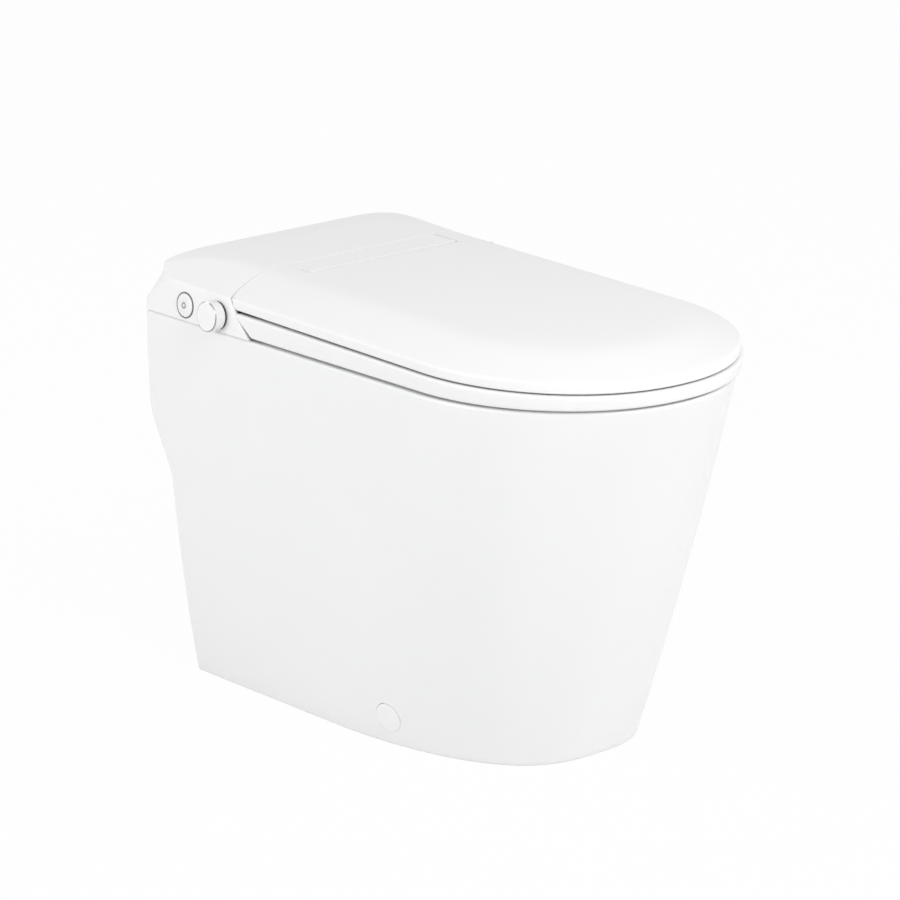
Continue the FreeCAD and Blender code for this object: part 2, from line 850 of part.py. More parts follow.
def inlet_valve():
    x = -service_x
    top = bay_floor + valve_height
    body = rounded_box(x - valve_half_width, x + valve_half_width, riser_y - valve_front,
                       riser_y + valve_rear, bay_floor, top, valve_corner)
    coil = Part.makeCylinder(coil_radius, coil_height, V(x, riser_y + coil_setback, top))
    socket = Part.makeCylinder(inlet_radius + running_gap, inlet_socket, V(x, riser_y, bay_floor))
    return body.fuse(coil).cut(socket)


def flush_pump():
    x = rim_pipe_x
    front = bay_front + pump_gap
    top = bay_floor + pump_height
    base = rounded_box(x - pump_half_width, x + pump_half_width, front, front + pump_depth, bay_floor, top,
                       pump_corner)
    motor = Part.makeCylinder(pump_motor_radius, pump_motor_height, V(x, front + pump_depth / 2.0, top))
    port = Part.makeCylinder(rim_pipe_radius, pump_port_depth, V(x, front, rim_pipe_height), Y_AXIS)
    return base.fuse(motor).cut(port)


def rim_pipe():
    length = bay_front + pump_gap + rim_pipe_entry - rim_pipe_front
    start = V(rim_pipe_x, rim_pipe_front, rim_pipe_height)
    return tube(start, Y_AXIS, length, rim_pipe_radius, rim_pipe_radius - rim_pipe_wall)


def rim_pipe_seal():
    start = V(rim_pipe_x, bay_front - ceramic_wall, rim_pipe_height)
    return tube(start, Y_AXIS, ceramic_wall, seal_radius, rim_pipe_radius)


def power_supply():
    front = bay_front + pump_gap
    return rounded_box(supply_left, supply_right, front, front + supply_depth, bay_floor,
                       bay_floor + supply_height, supply_corner)


def nozzle_placed(shape):
    """Move a shape made with X across, Y back along the nozzle and Z up from it into place."""
    shape.Placement = FreeCAD.Placement(PORT, FreeCAD.Rotation(X_AXIS, nozzle_angle))
    return shape


def rack_slot(s0, s1):
    """Room for the rack beside the nozzle over a stretch of its path."""
    half = rack_half_height + rack_slot_gap
    return nozzle_placed(box(0.0, RACK_LINE + rack_tip_gap, s0, s1, -half, half))


def flap_axis():
    return V(0, nose_front - flap_axis_out, flap_height + flap_axis_rise)


def board_posts():
    xs = (board_left + board_post_inset, board_right - board_post_inset)
    ys = (board_front + board_post_inset, board_rear - board_post_inset)
    return [Part.makeCylinder(board_post_radius, board_lift, V(x, y, TRAY_TOP)) for x in xs for y in ys]


def flap_lugs():
    axis = flap_axis()
    lugs = []
    for x in (DUCT_LEFT - lug_gap - lug_width, DUCT_RIGHT + lug_gap):
        lugs.append(box(x, x + lug_width, axis.y - lug_half_height, nose_front, axis.z - lug_half_height,
                        axis.z + lug_half_height))
    return lugs


def unit_tray():
    plate = Part.Face(closed_unit_ring(rim_height, tray_inset)).extrude(V(0, 0, tray_thickness))
    under = rim_height - overcut
    over = TRAY_TOP + overcut
    keep = box(-unit_width, unit_width, arm_foot_y + tray_arm_gap, body_rear + cut_reach, under, over)
    keep = keep.fuse(box(-lid_boss_end, lid_boss_end, TRAY_FRONT, body_rear, under, over))
    nose = box(-nose_half_width, nose_half_width, nose_front, nose_rear, nose_floor, TRAY_TOP)
    room = box(-nose_half_width + nose_wall, nose_half_width - nose_wall, nose_front + nose_wall,
               nose_rear - nose_wall, nose_floor + nose_wall, over)
    body = plate.common(keep).fuse([nose] + board_posts() + flap_lugs()).cut(room)
    port = Part.makeCylinder(nozzle_radius + nozzle_port_gap, 2.0 * nose_cut, V(0, -nose_cut, 0), Y_AXIS)
    vent = box(DUCT_LEFT + duct_wall, DUCT_RIGHT - duct_wall, nose_front - overcut, nose_front + nose_wall,
               flap_height - vent_below, flap_height + vent_above)
    axis = flap_axis()
    pivot = rod(0.0, 2.0 * duct_x, axis.y, axis.z, flap_pin_radius + running_gap)
    cuts = [nozzle_placed(port), rack_slot(-nose_cut, nose_cut), vent, pivot]
    for x in (-plug_x, plug_x):
        cuts.append(Part.makeCylinder(deck_screw_radius, over - under, V(x, plug_y, under)))
    return body.cut(cuts)


def deck_plugs():
    length = rim_thickness + plug_overhang
    return pair(tube(V(plug_x, plug_y, rim_height - length), Z_AXIS, length, plug_radius, deck_screw_radius))


def deck_screws():
    foot = rim_height - rim_thickness
    shank = Part.makeCylinder(deck_screw_radius, TRAY_TOP - foot, V(plug_x, plug_y, foot))
    head = Part.makeCylinder(deck_head_radius, deck_head_height, V(plug_x, plug_y, TRAY_TOP))
    return pair(shank.fuse(head))


def arm_region(gap):
    """Space behind the slanted front edge of the cover's side arms, open toward the hinge line above them."""
    back = body_rear + cut_reach
    front = hinge_y - 1.5 * barrel_radius

    def edge(z):
        return arm_foot_y + arm_slope * (z - rim_height) - gap

    return slab_x([(edge(LOW), LOW), (edge(arm_top), arm_top), (front, arm_top + arm_ledge_rise),
                   (front, HIGH), (back, HIGH), (back, LOW)], -unit_width, unit_width)


def service_window(y0, y1, height):
    """Opening for the nozzle and the dryer duct through the walls behind the hinge line."""
    return box(nozzle_x - window_nozzle_margin, DUCT_RIGHT + window_duct_margin, y0, y1, TRAY_TOP - overcut,
               TRAY_TOP + height)


def rear_cover():
    wall = cover_wall
    arm_in = panel_half(crease_height) - wall
    bridge = bridge_half_width + seam_gap
    front = hinge_y + cover_front_gap
    ahead = unit_front - cut_reach
    nose = hinge_y + barrel_radius + seam_gap
    between_arms = box(-arm_in, arm_in, ahead, front, LOW, HIGH)
    lid_side = [between_arms, box(-bridge, bridge, ahead, nose, LOW, HIGH),
                box(-unit_width, unit_width, ahead, hinge_y, arm_top, HIGH), barrel(seam_gap)]
    skin = unit_form(0.0, TRAY_TOP).common(arm_region(0.0)).cut(lid_side)
    kept = [box(-unit_width, unit_width, ahead, front + wall, LOW, HIGH),
            box(-bridge - wall, bridge + wall, ahead, nose + wall, LOW, HIGH), barrel(seam_gap + wall)]
    room = unit_form(wall, rim_height).cut(kept)
    button_hole = on_panel(upright_rod(bezel_radius - bezel_lip, -panel_cut, panel_cut), button_y)
    stem_hole = on_panel(upright_rod(stem_radius + stem_gap, -panel_cut, panel_cut), knob_y)
    window = service_window(nose - deep_cut, nose + 2.0 * wall, cover_window_height)
    return skin.cut([room, between_arms, window, button_hole, stem_hole])


def bridge_form(shrink, half):
    """The hinge bridge's outside, a round head on straight legs, shrunk by a wall thickness."""
    r = barrel_radius - bridge_gap - shrink
    head = rod(-half, half, hinge_y, hinge_height, r)
    legs = box(-half, half, hinge_y - r, hinge_y + r, TRAY_TOP, hinge_height)
    return head.fuse(legs)


def above(half, z):
    """Everything over a height across the hinge bridge."""
    return box(-half, half, unit_front, body_rear, z, HIGH)


def hinge_bridge():
    half = bridge_half_width
    body = bridge_form(0.0, half).cut(above(half, STRIP_FOOT))
    room = bridge_form(bridge_wall, half - bridge_wall).cut(above(half, STRIP_FOOT - bridge_wall))
    end = half - damper_length
    rib = box(end - rib_thickness, end, hinge_y - rib_half_depth, hinge_y + rib_half_depth,
              hinge_height - rib_drop, STRIP_FOOT - overcut)
    bore = rod(end, half, hinge_y, hinge_height, damper_radius)
    relief = nozzle_radius + nozzle_relief
    notch = box(nozzle_x - relief, nozzle_x + relief, unit_front, hinge_y, TRAY_TOP - overcut,
                TRAY_TOP + nozzle_relief)
    window = service_window(hinge_y + bridge_window_front, body_rear, bridge_window_height)
    return body.cut(room).fuse([rib, mirrored(rib)]).cut([bore, mirrored(bore), window, notch])


def hinge_strip():
    head = rod(-bridge_half_width, bridge_half_width, hinge_y, hinge_height, barrel_radius - bridge_gap)
    return head.common(above(unit_width, STRIP_FOOT)).common(unit_form(0.0, TRAY_TOP))


def on_side(shape, side):
    """A hinge piece made for the right, or its mirror image for the left."""
    return shape if side > 0 else mirrored(shape)


def damper(side):
    half = bridge_half_width
    body = rod(half - damper_length, half, hinge_y, hinge_height, damper_radius)
    bore = rod(pin_start - damper_bore_spare, half, hinge_y, hinge_height, pin_radius + running_gap)
    return on_side(body.cut(bore), side)


def hinge_pin(side):
    return on_side(rod(pin_start, pin_end, hinge_y, hinge_height, pin_radius), side)


def lid_region(inset):
    """Space the lid may fill: ahead of the hinge line, and its round rear end beside the hinge bridge."""
    half = bridge_half_width + seam_gap + inset
    ahead = box(-unit_width, unit_width, unit_front - cut_reach, hinge_y, LOW, HIGH)
    notch = rod(-half, half, hinge_y, hinge_height, barrel_radius + inset)
    notch = notch.fuse(box(-half, half, hinge_y - barrel_radius - inset, hinge_y, LOW, hinge_height))
    behind = box(-half, half, hinge_y, body_rear, LOW, HIGH)
    cheek = box(panel_half(crease_height) - cover_wall, unit_width, hinge_y, hinge_y + barrel_end_radius,
                lid_bottom - lid_cheek_depth, arm_top)
    cheeks = [cheek, mirrored(cheek)] if inset == 0.0 else []
    return ahead.fuse([barrel(-inset)] + cheeks).cut([notch, behind])


def lid_shell():
    cheek = panel_half(crease_height) - cover_wall
    low = tipped_slab(LOW, lid_bottom)
    rear_low = box(-cheek, cheek, hinge_y - lid_rear_step, body_rear + cut_reach, LOW, lid_rear_bottom)
    arms = arm_region(seam_gap).common(box(-unit_width, unit_width, unit_front, body_rear, LOW, arm_top))
    solid = unit_form(0.0, TRAY_TOP).common(lid_region(0.0)).cut([low, rear_low, arms])
    shell = solid.cut(unit_form(lid_wall, rim_height).common(lid_region(lid_wall)))
    fill = unit_form(lid_boss_cover, TRAY_TOP)
    bosses = []
    for side in (-1, 1):
        a, b = sorted((side * lid_boss_start, side * lid_boss_end))
        eye = rod(a, b, hinge_y, hinge_height, ear_radius)
        web = box(a, b, hinge_y - lid_web_half, hinge_y + lid_web_half, hinge_height, plateau_height)
        bosses.append(eye.fuse(web).common(fill))
        for x, y in lid_feet_at:
            post = Part.makeCylinder(lid_post_radius, HIGH - LOW, V(side * x, y, LOW))
            bosses.append(post.common(fill).cut(low))
    entry = bridge_half_width + pin_entry_length
    cuts = [rod(-entry, entry, hinge_y, hinge_height, pin_radius + pin_entry_gap),
            rod(0.0, pin_end, hinge_y, hinge_height, pin_radius),
            rod(-pin_end - pin_end_gap, 0.0, hinge_y, hinge_height, pin_radius + running_gap)]
    return shell.fuse(bosses).cut(cuts)


def lid_feet():
    gap = tipped_slab(seat_top, lid_bottom)
    feet = []
    for side in (-1, 1):
        for x, y in lid_feet_at:
            post = Part.makeCylinder(lid_foot_radius, HIGH - LOW, V(side * x, y, LOW))
            feet.append(post.common(gap))
    return Part.makeCompound(feet)


def seat_oval(grow, z0, z1):
    middle = (seat_opening_rear + seat_opening_front) / 2.0
    length = (seat_opening_rear - seat_opening_front) / 2.0
    face = Part.Face(oval(z0, middle, seat_opening_half_width + grow, length + grow))
    return face.extrude(V(0, 0, z1 - z0))


def seat_outline(z, inset, fall=0.0):
    """The seat's plan outline at a height, drawn in by an inset."""
    return ring(z, unit_width / 2.0 - seat_side_inset - inset, hinge_y + seat_rear_reach, rear_corner,
                unit_round_start, unit_front - seat_front_overhang + inset, unit_squareness, 0.0, fall)


def seat_blank():
    """Seat ring with softened outer edges, before it is hollowed."""
    height = seat_top - seat_bottom
    levels = list(seat_bottom_edge) + [(height - drop, inset) for drop, inset in seat_top_edge]
    rings = [seat_outline(seat_bottom + rise, inset, top_fall * rise / height) for rise, inset in levels]
    body = Part.makeLoft(rings, True, True)
    inner = unit_width / 2.0 - seat_tail_width
    bay = box(-inner, inner, seat_bar_rear, body_rear, LOW, HIGH)
    hole = seat_oval(0.0, seat_bottom - overcut, seat_top + overcut)
    return body.cut([hole, bay, arm_region(seat_arm_gap)])


def seat_hollow(lip, rear, z0, z1):
    """Room inside the seat ring between its two rims."""
    plan = Part.Face(seat_outline(z0, lip)).extrude(V(0, 0, z1 - z0))
    tails = box(-unit_width, unit_width, rear, body_rear, z0, z1)
    return plan.cut([seat_oval(lip - seat_lip_step, z0, z1), tails])


def seat_ring():
    rear = seat_bar_rear
    under_top = seat_top - seat_wall
    room = seat_hollow(seat_lip, rear - seat_wall, seat_bottom - overcut, seat_top + cut_reach)
    body = seat_blank().cut(room.common(tipped_slab(LOW, under_top)))
    reach = rear - seat_arm_reach
    root = under_top - seat_arm_root
    foot = seat_bottom + seat_arm_foot
    arm = slab_x([(hinge_y + seat_arm_under[0], hinge_height + seat_arm_under[1]),
                  (hinge_y + seat_arm_over[0], hinge_height + seat_arm_over[1]),
                  (reach, tipped(seat_top, reach)), (reach, root), (rear - seat_wall, root),
                  (rear - seat_wall, foot), (rear, foot)], seat_ear_start, seat_ear_end)
    ear = rod(seat_ear_start, seat_ear_end, hinge_y, hinge_height, ear_radius)
    side = arm.fuse(ear)
    body = body.fuse([side, mirrored(side)])
    return body.cut([rod(0.0, pin_end, hinge_y, hinge_height, pin_radius + running_gap),
                     rod(-pin_end, 0.0, hinge_y, hinge_height, pin_radius)])


def seat_base():
    return seat_hollow(seat_lip, seat_bar_rear - seat_wall, seat_bottom, seat_bottom + seat_base_thickness)


def seat_heater():
    under_top = seat_top - seat_wall
    sheet = seat_hollow(seat_lip + heater_margin, seat_bar_rear - heater_rear_gap, seat_bottom, seat_top)
    return sheet.common(tipped_slab(under_top - heater_thickness, under_top))


def seat_feet():
    feet = []
    for side in (-1, 1):
        for x, y in seat_feet_at:
            foot = V(side * x, y, rim_height)
            feet.append(Part.makeCylinder(seat_foot_radius, seat_bottom - rim_height, foot))
    return Part.makeCompound(feet)


def flush_button():
    cap = upright_rod(button_radius, -button_skirt, button_proud)
    cap = cap.makeFillet(button_edge, top_edges(cap, button_proud))
    return on_panel(cap.fuse(upright_rod(stem_radius, -button_stem, -button_skirt)), button_y)


def button_bezel():
    inner = button_radius + button_gap
    tail = cover_wall + bezel_tail
    flange = tube(V(0, 0, bezel_seat), Z_AXIS, bezel_thickness, bezel_radius, inner)
    sleeve = tube(V(0, 0, -tail), Z_AXIS, tail + bezel_seat, bezel_radius - bezel_lip, inner)
    return on_panel(flange.fuse(sleeve), button_y)


def behind_panel(shape, y):
    """Trim a control's rear end against the side board."""
    board = box(-side_board_x, 0.0, 0.0, body_rear, 0.0, plateau_height)
    return on_panel(shape, y).cut(board)


def button_switch():
    half = switch_half_width
    top = -button_stem - switch_gap - button_stroke
    return behind_panel(box(-half, half, -half, half, -cut_reach, top), button_y)


def encoder():
    half = encoder_half_width
    body = box(-half, half, -half, half, -cut_reach, -encoder_top)
    bore = upright_rod(stem_radius + running_gap, -encoder_bore, 0.0)
    return behind_panel(body.cut(bore), knob_y)


def side_board():
    return box(-side_board_x, -side_board_x + board_thickness, knob_y - side_board_front,
               button_y + side_board_rear, TRAY_TOP, control_height + side_board_rise)


def knob_stem():
    return on_panel(upright_rod(stem_radius, -stem_inside, KNOB_LIFT + stem_grip), knob_y)


def knob_groove(proud):
    """The band let into the knob's side, standing proud of it."""
    return tube(V(0, 0, knob_reach - knob_rim_setback), Z_AXIS, knob_rim_width, knob_radius + proud,
                knob_radius - knob_rim_depth)


def knob():
    body = upright_rod(knob_radius, KNOB_LIFT, knob_reach)
    body = body.makeFillet(knob_edge, top_edges(body, knob_reach))
    room = tube(V(0, 0, KNOB_LIFT), Z_AXIS, knob_reach - KNOB_LIFT - knob_face, knob_radius - knob_wall,
                stem_radius + knob_hub)
    bore = upright_rod(stem_radius, KNOB_LIFT, KNOB_LIFT + stem_grip)
    return on_panel(body.cut([room, bore, knob_groove(overcut)]), knob_y)


def knob_rim():
    return on_panel(knob_groove(knob_rim_proud), knob_y)


def rack_teeth(first, count, pitch):
    """Straight-sided teeth of the rack, the first one centred at a place along the nozzle."""
    lean = math.tan(math.radians(pressure_angle))
    middle = pitch / 4.0 - gear_backlash / 2.0
    root = middle + gear_module * lean
    tip = middle - rack_addendum * gear_module * lean
    x0 = RACK_LINE - gear_module
    x1 = RACK_LINE + rack_addendum * gear_module
    half = rack_half_height
    teeth = []
    for i in range(count):
        y = first + i * pitch
        corners = [(x0 - tooth_sink, y - root), (x0, y - root), (x1, y - tip), (x1, y + tip), (x0, y + root),
                   (x0 - tooth_sink, y + root)]
        outline = Part.makePolygon([V(a, b, -half) for a, b in corners + corners[:1]])
        teeth.append(Part.Face(outline).extrude(V(0, 0, 2.0 * half)))
    return teeth


def wash_nozzle():
    start = V(0, nozzle_recess + tip_length, 0)
    body = Part.makeCylinder(nozzle_radius, nozzle_length - tip_length, start, Y_AXIS)
    bore = Part.makeCylinder(nozzle_bore, nozzle_length, start, Y_AXIS)
    pitch = math.pi * gear_module
    first = pinion_setback - rack_lead_teeth * pitch
    count = int(nozzle_travel / pitch) + rack_spare_teeth
    half = rack_half_height
    bar = box(nozzle_radius - rack_root, RACK_LINE - gear_module, first - pitch / 2.0,
              first + (count - 0.5) * pitch, -half, half)
    return nozzle_placed(body.fuse([bar] + rack_teeth(first, count, pitch)).cut(bore))


def nozzle_tip():
    body = Part.makeCylinder(nozzle_radius, tip_length, V(0, nozzle_recess, 0), Y_AXIS)
    front = [e for e in body.Edges if abs(e.CenterOfMass.y - nozzle_recess) < edge_tolerance]
    body = body.makeFillet(tip_round, front)
    places = [V(i * jet_pitch, jet_setback, 0) for i in (-1, 0, 1)]
    jets = [Part.makeCylinder(jet_radius, nozzle_radius, place) for place in places]
    return nozzle_placed(body.cut(jets))


def drive_pinion():
    """Spur gear with involute flanks, one space turned to the rack."""
    base = PITCH_RADIUS * math.cos(math.radians(pressure_angle))
    tip = PITCH_RADIUS + pinion_addendum * gear_module
    root = PITCH_RADIUS - pinion_dedendum * gear_module
    half_tooth = math.pi / (2.0 * pinion_teeth) - gear_backlash / (2.0 * PITCH_RADIUS)

    def involute(r):
        a = math.acos(min(1.0, base / r))
        return math.tan(a) - a

    start = max(base, root)
    radii = [mix(start, tip, i / (flank_points - 1.0)) for i in range(flank_points)]
    flank = [(r, half_tooth + involute(PITCH_RADIUS) - involute(r)) for r in radii]
    side = [(root, flank[0][1])] + flank
    points = []
    for i in range(pinion_teeth):
        centre = 2.0 * math.pi * (i + 0.5) / pinion_teeth + math.pi
        points += [(r, centre - a) for r, a in side]
        points += [(r, centre + a) for r, a in reversed(side)]
    x = RACK_LINE + PITCH_RADIUS
    half = pinion_half_width
    outline = [V(x + r * math.cos(a), pinion_setback + r * math.sin(a), -half) for r, a in points]
    wheel = Part.Face(Part.makePolygon(outline + outline[:1])).extrude(V(0, 0, 2.0 * half))
    shaft = Part.makeCylinder(pinion_shaft_radius, pinion_shaft_drop + half,
                              V(x, pinion_setback, -pinion_shaft_drop))
    return nozzle_placed(wheel.fuse(shaft))


def nozzle_motor():
    x = RACK_LINE + PITCH_RADIUS
    can = Part.makeCylinder(motor_radius, motor_length, V(x, pinion_setback, -motor_drop - motor_length))
    bore = Part.makeCylinder(pinion_shaft_radius + running_gap, motor_bore_depth + overcut,
                             V(x, pinion_setback, -motor_drop - motor_bore_depth))
    floor = nose_floor + nose_wall
    front = nose_front + motor_foot_front
    foot = box(nozzle_x + x - motor_radius, nozzle_x + x + motor_radius, front, front + motor_foot_length,
               floor, floor + motor_foot_height)
    return nozzle_placed(can).fuse(foot).cut(nozzle_placed(bore))


def nozzle_guide(setback, floor):
    """A cradle round the lower part of the nozzle on a leg from the floor below it."""
    outer = nozzle_radius + guide_wall
    sleeve = nozzle_placed(box(-outer, outer, setback, setback + guide_length, -outer, guide_height))
    middle = PORT + NOZZLE_BACK * (setback + guide_length / 2.0)
    leg = box(nozzle_x - outer, nozzle_x + outer, middle.y - guide_leg_half, middle.y + guide_leg_half, floor,
              middle.z)
    path = nozzle_length + cut_reach
    bore = Part.makeCylinder(nozzle_radius + running_gap, cut_reach + path, V(0, -cut_reach, 0), Y_AXIS)
    return sleeve.fuse(leg).cut([nozzle_placed(bore), rack_slot(-cut_reach, path)])


def front_guide():
    return nozzle_guide(front_guide_setback, nose_floor + nose_wall)


def rear_guide():
    return nozzle_guide(rear_guide_setback, TRAY_TOP)


def blower_housing():
    wall = blower_wall
    floor = TRAY_TOP
    top = floor + blower_height
    drum = Part.makeCylinder(blower_radius, blower_height, V(blower_x, blower_y, floor))
    neck = box(DUCT_LEFT, DUCT_RIGHT, duct_rear, blower_y, floor, top)
    room = Part.makeCylinder(blower_radius - wall, blower_height - 2.0 * wall,
                             V(blower_x, blower_y, floor + wall))
    throat = box(DUCT_LEFT + wall, DUCT_RIGHT - wall, duct_rear, blower_y - wall, floor + wall, top - wall)
    shaft = Part.makeCylinder(fan_hole_radius, 4.0 * wall, V(blower_x, blower_y, top - 2.0 * wall))
    return drum.fuse(neck).cut([room, throat, shaft])


def blower_motor():
    foot = V(blower_x, blower_y, TRAY_TOP + blower_height)
    body = Part.makeCylinder(fan_motor_radius, fan_motor_height, foot)
    return body.cut(Part.makeCylinder(fan_shaft_radius + running_gap, fan_motor_bore, foot))


def impeller():
    low = TRAY_TOP + blower_wall + impeller_gap
    height = blower_height - 2.0 * (blower_wall + impeller_gap)
    foot = V(blower_x, blower_y, low)
    hub = Part.makeCylinder(impeller_hub_radius, height, foot)
    disc = Part.makeCylinder(impeller_radius, impeller_disc, foot)
    shaft = Part.makeCylinder(fan_shaft_radius, height + fan_shaft_reach, foot)
    blades = []
    for i in range(impeller_blades):
        blade = box(impeller_radius - blade_depth, impeller_radius - blade_inset, -blade_half_thickness,
                    blade_half_thickness, low, low + height)
        blade.translate(V(blower_x, blower_y, 0))
        blade.rotate(V(blower_x + impeller_radius - blade_pivot, blower_y, low), Z_AXIS, blade_angle)
        blade.rotate(foot, Z_AXIS, 360.0 * i / impeller_blades)
        blades.append(blade)
    return hub.fuse([disc, shaft] + blades)


def duct_form(wall, over):
    """The dryer duct from the vent up its ramp to the blower, shrunk by a wall and lengthened at its ends."""
    front = nose_front + nose_wall - over
    rear = duct_rear + over
    low = nose_floor + nose_wall + duct_seat
    high = TRAY_TOP + duct_step
    shift = duct_wall_shift * wall / duct_wall
    foot = duct_ramp_foot - shift
    head = duct_ramp_head - shift
    roof_foot = duct_ramp_foot - duct_roof_foot_shift + shift
    roof_head = duct_ramp_head - duct_roof_head_shift + shift
    roof_low = low + duct_mouth_height - wall
    roof_high = high + duct_height - wall
    return slab_x([(front, low + wall), (foot, low + wall), (head, high + wall), (rear, high + wall),
                   (rear, roof_high), (roof_head, roof_high), (roof_foot, roof_low), (front, roof_low)],
                  DUCT_LEFT + wall, DUCT_RIGHT - wall)


def dryer_duct():
    return duct_form(0.0, 0.0).cut(duct_form(duct_wall, overcut))


def dryer_flap():
    axis = flap_axis()
    face = nose_front - flap_gap
    plate = box(DUCT_LEFT, DUCT_RIGHT, face - flap_thickness, face, flap_height - flap_drop, axis.z)
    pin = rod(DUCT_LEFT - flap_pin_reach, DUCT_RIGHT + flap_pin_reach, axis.y, axis.z, flap_pin_radius)
    return plate.fuse(pin)


def water_heater():
    tank = rounded_box(tank_left, tank_right, tank_front, tank_rear, TRAY_TOP, TRAY_TOP + tank_height,
                       tank_corner)
    spout = Part.makeCylinder(spout_radius, spout_length,
                              V(spout_x, tank_front - spout_length, TRAY_TOP + tank_height / 2.0), Y_AXIS)
    return tank.fuse(spout)


def control_board():
    under = TRAY_TOP + board_lift
    top = under + board_thickness
    board = box(board_left, board_right, board_front, board_rear, under, top)
    parts = []
    for x0, x1, y0, y1, height in board_blocks:
        parts.append(box(board_left + x0, board_left + x1, board_front + y0, board_front + y1,
                         top, top + height))
    for x, y in capacitors_at:
        foot = V(board_left + x, board_front + y, top)
        parts.append(Part.makeCylinder(capacitor_radius, capacitor_height, foot))
    return board.fuse(parts)


NODES = {
    "ceramic_body": ceramic_body,
    "outlet_seal": outlet_seal,
    "floor_brackets": floor_brackets,
    "side_screws": side_screws,
    "side_caps": side_caps,
    "inlet_pipe": inlet_pipe,
    "inlet_valve": inlet_valve,
    "flush_pump": flush_pump,
    "rim_pipe": rim_pipe,
    "rim_pipe_seal": rim_pipe_seal,
    "power_supply": power_supply,
    "cord_gland": cord_gland,
    "unit_tray": unit_tray,
    "deck_plugs": deck_plugs,
    "deck_screws": deck_screws,
    "rear_cover": rear_cover,
    "hinge_bridge": hinge_bridge,
    "hinge_strip": hinge_strip,
    "lid_damper": lambda: damper(1),
    "seat_damper": lambda: damper(-1),
    "lid_pin": lambda: hinge_pin(1),
    "seat_pin": lambda: hinge_pin(-1),
    "lid_shell": lid_shell,
    "lid_feet": lid_feet,
    "seat_ring": seat_ring,
    "seat_base": seat_base,
    "seat_heater": seat_heater,
    "seat_feet": seat_feet,
    "flush_button": flush_button,
    "button_bezel": button_bezel,
    "button_switch": button_switch,
    "side_board": side_board,
    "encoder": encoder,
    "knob_stem": knob_stem,
    "knob": knob,
    "knob_rim": knob_rim,
    "wash_nozzle": wash_nozzle,
    "nozzle_tip": nozzle_tip,
    "nozzle_guide_front": front_guide,
    "nozzle_guide_rear": rear_guide,
    "nozzle_motor": nozzle_motor,
    "drive_pinion": drive_pinion,
    "blower_housing": blower_housing,
    "blower_motor": blower_motor,
    "impeller": impeller,
    "dryer_duct": dryer_duct,
    "dryer_flap": dryer_flap,
    "water_heater": water_heater,
    "control_board": control_board,
}


def main():
    os.makedirs("parts", exist_ok=True)
    for name, make in NODES.items():
        make().exportStep(os.path.join("parts", name + ".step"))


main()
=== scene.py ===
"""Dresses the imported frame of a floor-standing wash toilet with its glazed and moulded surfaces."""
import json
import math

import bmesh
import bpy
import numpy as np
from bpy.props import FloatProperty, FloatVectorProperty, PointerProperty
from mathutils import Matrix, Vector


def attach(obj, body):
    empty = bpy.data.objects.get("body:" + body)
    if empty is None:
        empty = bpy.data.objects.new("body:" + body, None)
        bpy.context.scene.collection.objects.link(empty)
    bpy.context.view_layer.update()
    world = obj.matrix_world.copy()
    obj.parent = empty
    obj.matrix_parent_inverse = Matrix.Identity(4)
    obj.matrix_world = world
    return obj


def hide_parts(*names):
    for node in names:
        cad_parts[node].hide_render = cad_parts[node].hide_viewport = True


bl_info = {
    "name": "Wash Toilet",
    "version": (1, 0, 0),
    "blender": (4, 5, 0),
    "location": "View3D > Sidebar > Toilet",
    "description": "Glazed pedestal, seat, lid and rear unit of a wash toilet over its packed frame",
    "category": "Object",
}

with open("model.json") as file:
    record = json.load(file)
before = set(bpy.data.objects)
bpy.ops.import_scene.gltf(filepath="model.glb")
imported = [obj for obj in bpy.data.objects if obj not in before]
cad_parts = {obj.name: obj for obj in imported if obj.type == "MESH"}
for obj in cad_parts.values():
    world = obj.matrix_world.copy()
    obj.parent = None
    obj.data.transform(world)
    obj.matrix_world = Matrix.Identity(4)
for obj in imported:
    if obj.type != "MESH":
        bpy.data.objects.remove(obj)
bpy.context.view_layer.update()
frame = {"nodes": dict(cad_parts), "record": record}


def length(name, description, default):
    """A size that a user may change, in metres."""
    return FloatProperty(name=name, description=description, default=default, unit="LENGTH", precision=4)


def number(name, description, default):
    """A plain ratio that a user may change."""
    return FloatProperty(name=name, description=description, default=default, precision=3)


def colour(name, description, default):
    """A surface colour that a user may change."""
    return FloatVectorProperty(name=name, description=description, default=default, subtype="COLOR",
                               size=3, min=0.0, max=1.0)


def watts(name, description, default):
    """A lamp's power that a user may change."""
    return FloatProperty(name=name, description=description, default=default, unit="POWER")


def angle(name, description, degrees):
    """A turn that a user may change, given in degrees."""
    return FloatProperty(name=name, description=description, default=math.radians(degrees), unit="ROTATION")


